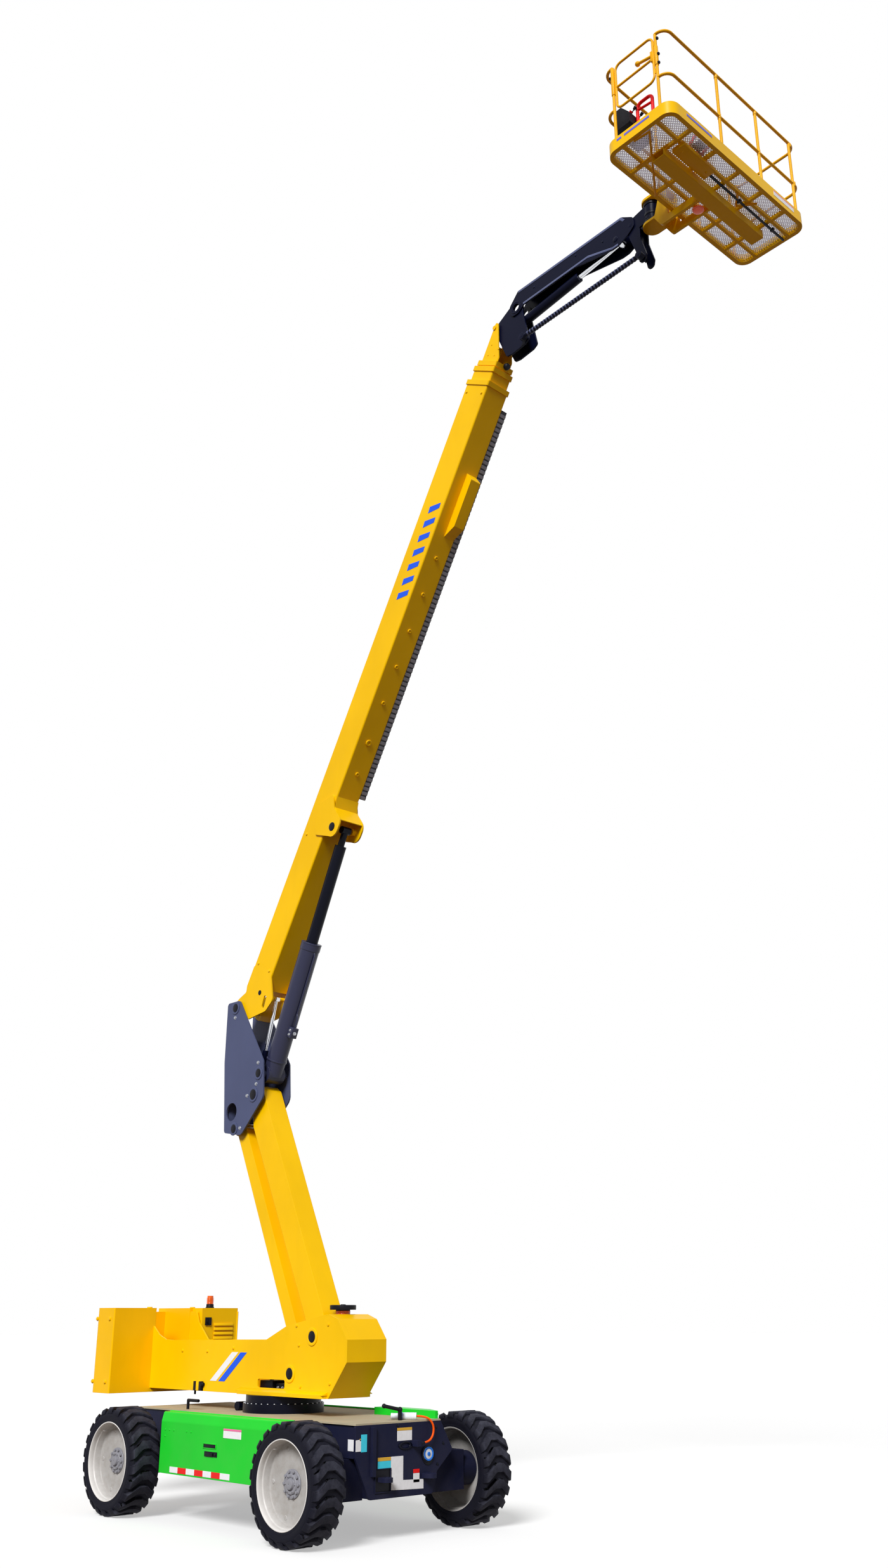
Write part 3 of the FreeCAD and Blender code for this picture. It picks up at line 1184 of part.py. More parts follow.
# ---- lift cylinder ----
def lift_barrel():
    angle = angle_between(LIFT_FOOT, LIFT_HEAD)
    barrel = rod(vec(0, 0, 0), vec(BARREL_LENGTH, 0, 0), BARREL_RADIUS)
    gland = rod(vec(BARREL_LENGTH - 90, 0, 0), vec(BARREL_LENGTH, 0, 0), BARREL_RADIUS + 6)
    eye = pin_y((0, 0), BARREL_EYE, -BARREL_RADIUS, BARREL_RADIUS)
    body = union([barrel, gland, eye])
    body = body.cut(rod(vec(160, 0, 0), vec(BARREL_LENGTH + 1, 0, 0), BARREL_BORE))
    body = body.cut(box(-BARREL_RADIUS - 1, -BARREL_EYE + 1, -200, 200, -200, 200))
    body = body.cut(pin_y((0, 0), CYLINDER_PIN_RADIUS + PIN_GAP, -BARREL_RADIUS - 1, BARREL_RADIUS + 1))
    return stood(body, LIFT_FOOT, angle)


def lift_rod():
    """The rod in its sleeve; it starts above the bore's floor and ends in an eye."""
    angle = angle_between(LIFT_FOOT, LIFT_HEAD)
    span = span_between(LIFT_FOOT, LIFT_HEAD)
    piston = rod(vec(ROD_START, 0, 0), vec(ROD_START + 120, 0, 0), BARREL_BORE - SEAT_GAP)
    sleeve = rod(vec(ROD_START, 0, 0), vec(span - 190, 0, 0), SLEEVE_RADIUS)
    tip = rod(vec(span - 191, 0, 0), vec(span - 20, 0, 0), ROD_TIP_RADIUS)
    eye = pin_y((span, 0), ROD_EYE_RADIUS, -60, 60)
    return stood(union([piston, sleeve, tip, eye]), LIFT_FOOT, angle)



# ---- jib ----
def jib_bracket():
    """Side plates on the boom tip's pin, with the jib's root pins and its cylinder's foot."""
    q = JIB_PIVOT
    u = JIB_UPPER
    low = JIB_LOWER
    reach = JIB_ROOT_RADIUS + 38
    outline = [
        (q[0] - 48, q[1] + 5, 40), (q[0] + 5, q[1] + 50, 40), (u[0] - 90, u[1] + 80, 60),
        (u[0] + 20, u[1] + reach, 80), (u[0] + reach, u[1] + 20, 80), (u[0] + 90, u[1] - 110, 50),
        (low[0] + 30, low[1] + 60, 40), (low[0] + 45, low[1] - 10, 35), (low[0] - 20, low[1] - 50, 40),
        (q[0] + 235, q[1] - 495, 40), (q[0] + 150, q[1] - 480, 30)]
    inner = JIB_BRACKET_HALF - JIB_BRACKET_PLATE
    plates = plate_pair(outline, inner, JIB_BRACKET_HALF)
    web = slab_y([(q[0] + 40, q[1] + 20), (q[0] + 190, q[1] + 90), (q[0] + 182, q[1] + 106), (q[0] + 32, q[1] + 36)],
                 -inner - 1, inner + 1)
    boss = pin_y(q, 44, -inner - 1, inner + 1)
    foot_pin = pin_y(JIB_CYLINDER_FOOT, JIB_PIN_RADIUS, -inner - 1, inner + 1)
    root_pins = stub_pair(u, JIB_ROOT_RADIUS, inner, JIB_HALF + JIB_PIN_HEAD)
    lower_pin = pin_y(low, JIB_PIN_RADIUS - 6, JIB_LINK_Y - JIB_LINK_EYE_HALF - JIB_PIN_HEAD, -inner)
    bracket = union(plates + [web, boss, foot_pin, lower_pin] + root_pins)
    bracket = bracket.cut(pin_y(u, JIB_ROOT_BORE, -JIB_HALF - 5, JIB_HALF + 5))
    return bracket.cut(pin_y(q, TIP_PIN_RADIUS + PIN_GAP, -JIB_BRACKET_HALF - 1, JIB_BRACKET_HALF + 1))


def jib_beam():
    """A channel, open below and deeper towards the head, with the jib cylinder inside it."""
    far = JIB_LENGTH
    eye_s, eye_t = JIB_ROD_EYE
    lobe = JIB_ROOT_RADIUS + 38
    outline = [
        (-lobe, -20, 60), (-lobe, 60, 60), (45, JIB_TOP, 40), (far - 110, JIB_TOP - 20, 70),
        (far + 50, 80, 60), (far + 55, -40, 50), (far - 40, -110, 40), (eye_s + 40, JIB_DEEP, 30),
        (eye_s - 60, JIB_DEEP, 40), (eye_s - 620, -38, 80), (120, -38, 40), (30, -lobe, 60), (-70, -lobe, 50)]
    inner = JIB_HALF - JIB_PLATE
    plates = plate_pair(outline, inner, JIB_HALF)
    roof = slab_y([(45, JIB_TOP - JIB_PLATE), (far - 130, JIB_TOP - 20 - JIB_PLATE), (far - 130, JIB_TOP - 20),
                   (45, JIB_TOP)], -inner - 1, inner + 1)
    stubs = stub_pair(JIB_ROD_EYE, JIB_PIN_RADIUS + 8, JIB_EYE_HALF + 5, inner + 1)
    beam = union(plates + [roof] + stubs)
    beam = beam.cut(pin_y((0, 0), JIB_ROOT_RADIUS + PIN_GAP, -JIB_HALF - 1, JIB_HALF + 1))
    beam = beam.cut(pin_y((far, 0), JIB_PIN_RADIUS + PIN_GAP, -JIB_HALF - 1, JIB_HALF + 1))
    return stood(beam, JIB_UPPER, JIB_ANGLE)


def jib_link():
    far = JIB_LENGTH
    y0 = JIB_LINK_Y - JIB_LINK_EYE_HALF
    y1 = JIB_LINK_Y + JIB_LINK_EYE_HALF
    pieces = [rod(vec(0, JIB_LINK_Y, 0), vec(far, JIB_LINK_Y, 0), JIB_LINK_RADIUS)]
    pieces += [pin_y((s, 0), JIB_LINK_EYE_RADIUS, y0, y1) for s in (0, far)]
    link = union(pieces)
    for s in (0, far):
        link = link.cut(pin_y((s, 0), JIB_PIN_RADIUS - 6 + PIN_GAP, y0 - 1, y1 + 1))
    return stood(link, JIB_LOWER, JIB_ANGLE)


def jib_barrel():
    angle = angle_between(JIB_CYLINDER_FOOT, JIB_CYLINDER_HEAD)
    inner = JIB_BRACKET_HALF - JIB_BRACKET_PLATE - 5
    barrel = rod(vec(0, 0, 0), vec(JIB_BARREL_LENGTH, 0, 0), JIB_BARREL_RADIUS)
    barrel = union([barrel, pin_y((0, 0), JIB_EYE_RADIUS, -inner, inner)])
    barrel = barrel.cut(rod(vec(100, 0, 0), vec(JIB_BARREL_LENGTH + 1, 0, 0), JIB_BARREL_BORE))
    barrel = barrel.cut(pin_y((0, 0), JIB_PIN_RADIUS + PIN_GAP, -inner - 1, inner + 1))
    return stood(barrel, JIB_CYLINDER_FOOT, angle)


def jib_rod():
    angle = angle_between(JIB_CYLINDER_FOOT, JIB_CYLINDER_HEAD)
    span = span_between(JIB_CYLINDER_FOOT, JIB_CYLINDER_HEAD)
    piston = rod(vec(JIB_ROD_START, 0, 0), vec(JIB_ROD_START + 60, 0, 0), JIB_BARREL_BORE - SEAT_GAP)
    shaft = rod(vec(JIB_ROD_START, 0, 0), vec(span - 20, 0, 0), JIB_ROD_RADIUS)
    eye = pin_y((span, 0), JIB_EYE_RADIUS, -JIB_EYE_HALF, JIB_EYE_HALF)
    return stood(union([piston, shaft, eye]), JIB_CYLINDER_FOOT, angle)



def jib_head():
    """Side plates on the jib's two head pins, with the rotator's upright body."""
    u = HEAD_UPPER
    low = HEAD_LOWER
    neck = ROTATOR - MOUNT_HALF - 15
    outline = [
        (u[0] - 55, u[1] + 62, 50), (u[0] + 90, u[1] + 100, 40), (ROTATOR, ROTATOR_TOP - 40),
        (ROTATOR, ROTATOR_BOTTOM + 20), (neck, ROTATOR_BOTTOM + 20, 10), (neck, ROTATOR_BOTTOM - 120, 40),
        (low[0] + 48, low[1] + 40, 40), (low[0] + 30, low[1] - 44, 40), (low[0] - 44, low[1] - 44, 40),
        (low[0] - 60, low[1] + 60, 60), (u[0] - 60, u[1] - 62, 50)]
    inner = JIB_BRACKET_HALF - JIB_BRACKET_PLATE
    plates = plate_pair(outline, inner, JIB_BRACKET_HALF)
    body = cylinder(vec(ROTATOR, 0, ROTATOR_BOTTOM), vec(0, 0, 1), ROTATOR_RADIUS, ROTATOR_TOP - ROTATOR_BOTTOM)
    web = box(neck - 50, neck - 30, -inner - 1, inner + 1, low[1] + 60, ROTATOR_BOTTOM + 60)
    upper_pin = pin_y(u, JIB_PIN_RADIUS, -JIB_HALF - JIB_PIN_HEAD, JIB_HALF + JIB_PIN_HEAD)
    lower_pin = pin_y(low, JIB_PIN_RADIUS - 6, JIB_LINK_Y - JIB_LINK_EYE_HALF - JIB_PIN_HEAD, -inner)
    return union(plates + [body, web, upper_pin, lower_pin])


# ---- platform ----
def platform_mount():
    """Plates over and under the rotator, and the bearer under the floor."""
    top = ROTATOR_TOP + SEAT_GAP
    bottom = ROTATOR_BOTTOM - SEAT_GAP
    edge = PLATFORM_X - PLATFORM_WIDTH / 2
    half = MOUNT_HALF
    plate = [
        (ROTATOR - half, -half, half - 0.1), (edge - 60, -half, 20), (edge - 60, half, 20),
        (ROTATOR - half, half, half - 0.1)]
    upper = slab_z(plate, top, top + MOUNT_PLATE)
    lower = slab_z(plate, bottom - MOUNT_PLATE, bottom)
    under = PLATFORM_BOTTOM - SUPPORT_HEIGHT
    sides = plate_pair([
        (edge - 110, top + MOUNT_PLATE), (edge - 60, top + MOUNT_PLATE), (edge - 30, PLATFORM_BOTTOM - 10),
        (PLATFORM_X, PLATFORM_BOTTOM), (PLATFORM_X, under), (edge - 130, under, 40),
        (ROTATOR + ROTATOR_RADIUS + 10, bottom - MOUNT_PLATE)], half - MOUNT_PLATE, half)
    bearer = box(PLATFORM_X - SUPPORT_WIDTH / 2, PLATFORM_X + SUPPORT_WIDTH / 2, -SUPPORT_LENGTH / 2,
                 SUPPORT_LENGTH / 2, under, PLATFORM_BOTTOM)
    hollow = box(PLATFORM_X - SUPPORT_WIDTH / 2 + 8, PLATFORM_X + SUPPORT_WIDTH / 2 - 8, -SUPPORT_LENGTH / 2 - 1,
                 SUPPORT_LENGTH / 2 + 1, under + 8, PLATFORM_BOTTOM - 8)
    return union([upper, lower, bearer.cut(hollow)] + sides)


def platform_plan(inset):
    half_x = PLATFORM_WIDTH / 2 - inset
    half_y = PLATFORM_LENGTH / 2 - inset
    return rectangle(PLATFORM_X - half_x, PLATFORM_X + half_x, -half_y, half_y, PLATFORM_CORNER - inset)


def platform_floor():
    """The kick plate, its inner rim and the ribs under the sheet."""
    rib_top = PLATFORM_BOTTOM + FLOOR_RIB_HEIGHT
    kick = slab_z(platform_plan(0), PLATFORM_BOTTOM, PLATFORM_BOTTOM + KICK_HEIGHT)
    kick = kick.cut(slab_z(platform_plan(KICK_PLATE), PLATFORM_BOTTOM - 1, PLATFORM_BOTTOM + KICK_HEIGHT + 1))
    rim_ring = slab_z(platform_plan(1), PLATFORM_BOTTOM, rib_top)
    rim_ring = rim_ring.cut(slab_z(platform_plan(FLOOR_RIM), PLATFORM_BOTTOM - 1, rib_top + 1))
    half_x = PLATFORM_WIDTH / 2 - FLOOR_RIM + 1
    half_y = PLATFORM_LENGTH / 2 - FLOOR_RIM + 1
    wide = FLOOR_RIB_WIDTH / 2
    pieces = [kick, rim_ring]
    for i in (-2, -1, 0, 1, 2):
        y = i * FLOOR_RIB_PITCH
        pieces.append(box(PLATFORM_X - half_x, PLATFORM_X + half_x, y - wide, y + wide, PLATFORM_BOTTOM, rib_top))
    for x in (PLATFORM_X - PLATFORM_WIDTH / 4, PLATFORM_X + PLATFORM_WIDTH / 4):
        pieces.append(box(x - wide, x + wide, -half_y, half_y, PLATFORM_BOTTOM, rib_top))
    return union(pieces)


def platform_sheet():
    z = PLATFORM_BOTTOM + FLOOR_RIB_HEIGHT
    return slab_z(platform_plan(KICK_PLATE + SEAT_GAP), z, z + FLOOR_SHEET)


def rail_loop(z, inset):
    """A rail round the platform, open across the gateway at its right end."""
    half_x = PLATFORM_WIDTH / 2 - inset
    half_y = PLATFORM_LENGTH / 2 - inset
    bend = PLATFORM_CORNER - inset
    gate = GATE_WIDTH / 2
    corners = [
        (PLATFORM_X - gate, -half_y), (PLATFORM_X - half_x, -half_y), (PLATFORM_X - half_x, half_y),
        (PLATFORM_X + half_x, half_y), (PLATFORM_X + half_x, -half_y), (PLATFORM_X + gate, -half_y)]
    points = [vec(x, y, z) for x, y in corners]
    edges = []
    start = points[0]
    for i in range(1, len(points) - 1):
        back = points[i - 1].sub(points[i]).normalize()
        ahead = points[i + 1].sub(points[i]).normalize()
        entry = points[i].add(back * bend)
        leave = points[i].add(ahead * bend)
        middle = points[i].add(back.add(ahead).normalize() * (bend * (math.sqrt(2) - 1)))
        if start.distanceToPoint(entry) > 0.01:
            edges.append(Part.LineSegment(start, entry).toShape())
        edges.append(Part.Arc(entry, middle, leave).toShape())
        start = leave
    edges.append(Part.LineSegment(start, points[-1]).toShape())
    path = Part.Wire(edges)
    section = Part.Wire(Part.makeCircle(RAIL_RADIUS, points[0], points[1].sub(points[0])))
    return path.makePipeShell([section], True, False)


def platform_rails():
    inset = KICK_PLATE + SEAT_GAP + RAIL_RADIUS
    foot = PLATFORM_BOTTOM + FLOOR_RIB_HEIGHT + FLOOR_SHEET
    half_x = PLATFORM_WIDTH / 2 - inset
    half_y = PLATFORM_LENGTH / 2 - inset
    gate = GATE_WIDTH / 2
    posts = []
    for x in (-gate, gate):
        posts.append((PLATFORM_X + x, -half_y))
    for x in (-half_x, half_x):
        for y in (-PLATFORM_LENGTH * 0.13, PLATFORM_LENGTH * 0.165, half_y - PLATFORM_CORNER):
            posts.append((PLATFORM_X + x, y))
    pieces = [rail_loop(RAIL_TOP - RAIL_RADIUS, inset), rail_loop(RAIL_MIDDLE, inset)]
    for x, y in posts:
        pieces.append(cylinder(vec(x, y, foot), vec(0, 0, 1), RAIL_RADIUS, RAIL_TOP - RAIL_RADIUS - foot))
    return union(pieces)


def platform_gate():
    """A framed gate between the end posts, hinged on the far one."""
    inset = KICK_PLATE + SEAT_GAP + RAIL_RADIUS
    y = -(PLATFORM_LENGTH / 2 - inset)
    low = RAIL_MIDDLE - 10
    high = RAIL_TOP - RAIL_RADIUS
    x0 = PLATFORM_X - GATE_WIDTH / 2 + 2 * RAIL_RADIUS + 6
    x1 = PLATFORM_X + GATE_WIDTH / 2 - 2 * RAIL_RADIUS - 6
    corners = [vec(x0, y, low), vec(x1, y, low), vec(x1, y, high), vec(x0, y, high)]
    frame = closed_bar(rounded_edges(corners, [70] * 4), RAIL_RADIUS - 3)
    middle = (low + high) / 2
    bar = rod(vec(x0, y, middle), vec(x1, y, middle), RAIL_RADIUS - 3)
    hinges = []
    for z in (low + 110, high - 110):
        hinges.append(box(x1, x1 + 2 * RAIL_RADIUS + 6 - RAIL_RADIUS - SEAT_GAP, y - 6, y + 6, z - 30, z + 30))
    return union([frame, bar] + hinges)


def console_back():
    """The plane just inside the rear rail, where the console's back lies."""
    return PLATFORM_X - PLATFORM_WIDTH / 2 + KICK_PLATE + 2 * SEAT_GAP + 2 * RAIL_RADIUS


def control_box():
    """The console on the rear rail."""
    back = console_back()
    y0 = CONSOLE_FROM_END - PLATFORM_LENGTH / 2
    top = CONSOLE_BOTTOM + CONSOLE_HEIGHT
    return slab_y([
        (back, CONSOLE_BOTTOM), (back + CONSOLE_DEPTH, CONSOLE_BOTTOM, 20),
        (back + CONSOLE_DEPTH, CONSOLE_BOTTOM + CONSOLE_HEIGHT / 2, 20), (back + CONSOLE_DEPTH / 2, top, 20),
        (back, top)], y0, y0 + CONSOLE_LENGTH)


def control_guard():
    """A looped bar that stands out over the console."""
    x = console_back() + CONSOLE_DEPTH + GUARD_RADIUS + SEAT_GAP
    y = CONSOLE_FROM_END - PLATFORM_LENGTH / 2 + GUARD_FROM_END
    low = CONSOLE_BOTTOM + GUARD_RADIUS
    high = low + GUARD_HEIGHT
    corners = [vec(x, y, low), vec(x + GUARD_REACH, y, low), vec(x + GUARD_REACH, y, high), vec(x, y, high)]
    return closed_bar(rounded_edges(corners, [GUARD_BEND] * 4), GUARD_RADIUS)


def closed_bar(wire, radius):
    """A round bar bent along a closed route."""
    first = wire.Edges[0]
    start = first.valueAt(first.FirstParameter)
    way = first.tangentAt(first.FirstParameter)
    section = Part.Wire(Part.makeCircle(radius, start, way))
    return wire.makePipeShell([section], True, False)


def build():
    os.makedirs("parts", exist_ok=True)
    wheels()
    export("fixed_axle_left", fixed_axle(1))
    export("fixed_axle_right", fixed_axle(-1))
    export("steer_axle", steer_axle())
    export("steer_knuckle_left", steer_knuckle(1))
    export("steer_knuckle_right", steer_knuckle(-1))
    export("tie_rod", tie_rod())
    export("chassis_frame", union([chassis_frame().cut(corner_room()), charge_gland()]))
    export("deck", deck().cut(corner_room()))
    export("side_cover_left", side_cover())
    export("side_cover_right", mirrored(side_cover()))
    export("deck_box", deck_box())
    export("battery_left", battery())
    export("battery_right", mirrored(battery()))
    export("slew_ring_lower", slew_ring_lower())
    export("slew_ring_upper", slew_ring_upper())
    export("swing_drive", swing_drive())
    export("charge_cable", cord(cable_route(), CABLE_RADIUS))
    export("charge_plug", charge_plug())
    export("standpipe", standpipe())
    export("deck_lever", deck_lever())
    export("turntable_frame", turntable_frame())
    export("nose_cover", nose_cover())
    export("counterweight", counterweight())
    export("service_cabinet", service_cabinet())
    export("cabinet_door", cabinet_door())
    export("beacon", beacon())
    export("front_lamp", front_lamp())
    export("riser", riser())
    export("riser_link", riser_link())
    export("knuckle", knuckle())
    export("level_barrel", level_barrel())
    export("level_rod", level_rod())
    export("boom_base", boom_base())
    export("boom_second", boom_second())
    export("boom_third", boom_third())
    export("boom_tip", boom_tip())
    export("cable_carrier", cable_carrier())
    export("lift_barrel", lift_barrel())
    export("lift_rod", lift_rod())
    export("jib_bracket", jib_bracket())
    export("jib_beam", jib_beam())
    export("jib_link", jib_link())
    export("jib_barrel", jib_barrel())
    export("jib_rod", jib_rod())
    export("jib_head", jib_head())
    export("platform_mount", platform_mount())
    export("platform_floor", platform_floor())
    export("platform_sheet", platform_sheet())
    export("platform_rails", platform_rails())
    export("platform_gate", platform_gate())
    export("control_box", control_box())
    export("control_guard", control_guard())


build()
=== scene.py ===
import json
import math

import bmesh
import bpy
from mathutils import Matrix, Vector


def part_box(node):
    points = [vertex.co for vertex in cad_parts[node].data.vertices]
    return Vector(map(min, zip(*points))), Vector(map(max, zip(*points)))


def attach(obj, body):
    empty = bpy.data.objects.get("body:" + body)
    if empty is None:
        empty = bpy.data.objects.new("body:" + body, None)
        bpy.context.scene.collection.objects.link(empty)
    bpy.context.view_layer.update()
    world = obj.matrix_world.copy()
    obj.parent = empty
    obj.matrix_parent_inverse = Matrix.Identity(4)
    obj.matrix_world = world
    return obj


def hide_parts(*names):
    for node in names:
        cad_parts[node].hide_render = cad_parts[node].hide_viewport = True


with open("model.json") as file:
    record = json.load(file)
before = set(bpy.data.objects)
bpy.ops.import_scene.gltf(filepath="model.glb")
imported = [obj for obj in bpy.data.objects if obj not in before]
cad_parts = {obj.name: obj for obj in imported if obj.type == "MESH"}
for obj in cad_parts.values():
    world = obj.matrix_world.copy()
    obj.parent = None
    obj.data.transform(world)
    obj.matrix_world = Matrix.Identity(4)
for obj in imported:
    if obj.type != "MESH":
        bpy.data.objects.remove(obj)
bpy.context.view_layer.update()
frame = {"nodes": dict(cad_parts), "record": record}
nodes = frame["nodes"]
print("frame loaded:", len(nodes), "nodes")


def addObject(name, data):
    made = bpy.data.objects.new(name, data)
    bpy.context.scene.collection.objects.link(made)
    return made


# camera
view = {"place": (12.969, -9.772, 1.967), "azimuth": 136.93, "rise": 21.0, "roll": -0.07,
        "sensor": 24.0, "lens": 21.211, "reach": 200}


def addCamera():
    azimuth, rise = math.radians(view["azimuth"]), math.radians(view["rise"])
    way = Vector((math.cos(rise) * math.cos(azimuth), math.cos(rise) * math.sin(azimuth), math.sin(rise)))
    data = bpy.data.cameras.new("camera")
    data.sensor_fit = "VERTICAL"
    data.sensor_height = view["sensor"]
    data.lens = view["lens"]
    data.clip_end = view["reach"]
    camera = addObject("camera", data)
    turn = way.to_track_quat("-Z", "Y").to_matrix().to_4x4()
    roll = Matrix.Rotation(math.radians(view["roll"]), 4, "Z")
    camera.matrix_world = Matrix.Translation(view["place"]) @ turn @ roll
    bpy.context.scene.camera = camera


addCamera()


# shader arithmetic: a socket that takes part in expressions
class Value:
    def __init__(self, finish, socket):
        self.finish = finish
        self.socket = socket

    def __add__(self, other):
        return self.finish.maths("ADD", self, other)

    def __sub__(self, other):
        return self.finish.maths("SUBTRACT", self, other)

    def __rsub__(self, other):
        return self.finish.maths("SUBTRACT", other, self)

    def __mul__(self, other):
        return self.finish.maths("MULTIPLY", self, other)


class Finish:
    def __init__(self, name, **constants):
        self.material = bpy.data.materials.new(name)
        self.material.use_nodes = True
        self.tree = self.material.node_tree
        self.shader = self.tree.nodes["Principled BSDF"]
        for label, value in constants.items():
            self.shader.inputs[label.replace("_", " ")].default_value = value
        self.place = self.node("ShaderNodeTexCoord", {}, {}, "Object")

    def feed(self, socket, value):
        if isinstance(value, Value):
            self.tree.links.new(value.socket, socket)
        else:
            socket.default_value = value

    def node(self, kind, settings, inputs, output=0):
        made = self.tree.nodes.new(kind)
        for label, value in settings.items():
            setattr(made, label, value)
        for label, value in inputs.items():
            self.feed(made.inputs[label], value)
        return Value(self, made.outputs[output])

    def maths(self, operation, first, second):
        return self.node("ShaderNodeMath", {"operation": operation}, {0: first, 1: second})

    def noise(self, scale, detail=3.0, roughness=0.5, place=None):
        return self.node("ShaderNodeTexNoise", {}, {"Vector": place or self.place, "Scale": scale,
                         "Detail": detail, "Roughness": roughness})

    def step(self, value, low, high):
        return self.node("ShaderNodeMapRange", {"clamp": True},
                         {"Value": value, "From Min": low, "From Max": high})

    def blend(self, factor, first, second):
        return self.node("ShaderNodeMix", {"data_type": "RGBA"}, {0: factor, 6: first, 7: second}, 2)

    def clouded(self, value, low, high, colour, dark, light):
        return self.blend(self.step(value, low, high), shaded(colour, dark), shaded(colour, light))

    def height(self, axis="Z"):
        return self.node("ShaderNodeSeparateXYZ", {}, {"Vector": self.place}, axis)

    def stretched(self, scale):
        return self.node("ShaderNodeMapping", {}, {"Vector": self.place, "Scale": scale})

    def edges(self, radius):
        # how far a rounded normal leans from the true one: one along corners, nought on flats
        soft = self.node("ShaderNodeBevel", {"samples": 4}, {"Radius": radius})
        flat = self.node("ShaderNodeNewGeometry", {}, {}, "Normal")
        lean = self.node("ShaderNodeVectorMath", {"operation": "DOT_PRODUCT"}, {0: soft, 1: flat}, "Value")
        return soft, self.step(1 - lean, 0.02, 0.22)

    def rough(self, value):
        self.feed(self.shader.inputs["Roughness"], value)

    def colour(self, value):
        self.feed(self.shader.inputs["Base Color"], value)

    def bump(self, height, strength, distance, normal=None):
        inputs = {"Height": height, "Strength": strength, "Distance": distance}
        if normal:
            inputs["Normal"] = normal
        self.feed(self.shader.inputs["Normal"], self.node("ShaderNodeBump", {}, inputs))


def tone(red, green, blue):
    # a colour as a screen shows it, made linear
    parts = [c / 255 for c in (red, green, blue)]
    return tuple(p / 12.92 if p <= 0.04045 else ((p + 0.055) / 1.055) ** 2.4 for p in parts) + (1.0,)


def shaded(colour, gain):
    return tuple(min(1.0, c * gain) for c in colour[:3]) + (1.0,)


def paint(name, colour, roughness=0.36, edge=0.004, wear_and_highlight=1.5, dust=0.0, peel=0.05, coat=0.05, shine=0.1):
    # sprayed paint: clouded tone, orange peel, corners lightened partly as wear and partly as a painted
    # highlight, and dust that gathers low down
    finish = Finish(name, Coat_Roughness=0.14, Specular_IOR_Level=shine)
    cloud = finish.noise(0.9, 4.0)
    streak = finish.noise(1.0, 5.0, 0.6, finish.stretched((5.0, 5.0, 0.7)))
    grain = finish.noise(240.0, 2.0)
    soft, corner = finish.edges(edge)
    base = finish.clouded(cloud, 0.35, 0.65, colour, 0.93, 1.05)
    base = finish.blend(finish.step(streak, 0.5, 0.75) * 0.12, base, shaded(colour, 0.72))
    # corners lighter: part wear, part painted highlight
    base = finish.blend(corner * finish.step(finish.noise(14.0, 6.0, 0.7), 0.42, 0.62) * 0.55, base,
                        shaded(colour, wear_and_highlight))
    if dust:
        low = finish.step(finish.height(), 1.3, 0.3) * finish.step(finish.noise(5.0, 6.0, 0.65), 0.35, 0.75)
        base = finish.blend(low * dust, base, tone(150, 140, 122))
    finish.colour(base)
    finish.rough(finish.step(finish.noise(7.0, 5.0, 0.6), 0.2, 0.9) * 0.16 + (roughness - 0.05))
    finish.feed(finish.shader.inputs["Coat Weight"], finish.step(cloud, 0.2, 0.8) * 0.04 + (coat - 0.02))
    finish.bump(grain * 0.6 + cloud, peel, 0.0015, soft)
    return finish.material


def rubber(name, colour, roughness=0.72):
    finish = Finish(name, Specular_IOR_Level=0.12)
    tread = finish.node("ShaderNodeAttribute", {"attribute_name": "tread"}, {}, "Fac")
    cloud = finish.noise(6.0, 6.0, 0.65)
    grain = finish.noise(320.0, 3.0)
    base = finish.clouded(cloud, 0.3, 0.7, colour, 0.75, 1.25)
    # lug tops lighter blue-grey: partly scuffing, partly a painted highlight
    scuff = tread * finish.step(finish.noise(11.0, 6.0, 0.7), 0.25, 0.7) * 0.7
    base = finish.blend(scuff, base, tone(72, 73, 86))
    finish.colour(base)
    finish.rough(finish.step(cloud, 0.2, 0.8) * 0.16 + (roughness - 0.1))
    finish.bump(grain * 0.5 + cloud, 0.25, 0.0012)
    return finish.material


def metal(name, colour, roughness, edge=0.002):
    finish = Finish(name, Metallic=1.0)
    cloud = finish.noise(9.0, 5.0, 0.6)
    lines = finish.noise(160.0)
    soft, corner = finish.edges(edge)
    base = finish.clouded(cloud, 0.3, 0.7, colour, 0.86, 1.05)
    # corners lighter: part wear, part painted highlight
    base = finish.blend(corner * 0.5, base, shaded(colour, 1.3))
    finish.colour(base)
    finish.rough(finish.step(lines, 0.3, 0.7) * 0.14 + (roughness - 0.06))
    finish.bump(lines, 0.06, 0.0006, soft)
    return finish.material


def plastic(name, colour, roughness=0.5, texture=420.0, strength=0.12, edge=0.002):
    # moulded: a leathery grain, and corners a little lighter, part polish and part painted highlight
    finish = Finish(name, Specular_IOR_Level=0.15)
    cells = finish.node("ShaderNodeTexVoronoi", {}, {"Vector": finish.place, "Scale": texture}, "Distance")
    cloud = finish.noise(12.0, 4.0)
    soft, corner = finish.edges(edge)
    base = finish.clouded(cloud, 0.3, 0.7, colour, 0.88, 1.1)
    finish.colour(finish.blend(corner * 0.4, base, shaded(colour, 1.7)))
    finish.rough(finish.step(cloud, 0.2, 0.8) * 0.12 + (roughness - 0.06))
    finish.bump(cells, strength, 0.0006, soft)
    return finish.material


def lens(name, colour):
    # amber lens: the ribs painted as lighter and darker bands, a painted highlight and shade, and a faint
    # glow
    finish = Finish(name, Roughness=0.12, Coat_Roughness=0.04, Transmission_Weight=0.25, IOR=1.45)
    ribs = finish.node("ShaderNodeTexWave", {"bands_direction": "Z"}, {"Vector": finish.place, "Scale": 28.0,
                       "Distortion": 0.2})
    glow = finish.blend(ribs, shaded(colour, 0.75), shaded(colour, 1.15))
    finish.colour(glow)
    finish.feed(finish.shader.inputs["Emission Color"], glow)
    finish.shader.inputs["Emission Strength"].default_value = 0.08
    finish.bump(ribs, 0.4, 0.002)
    return finish.material


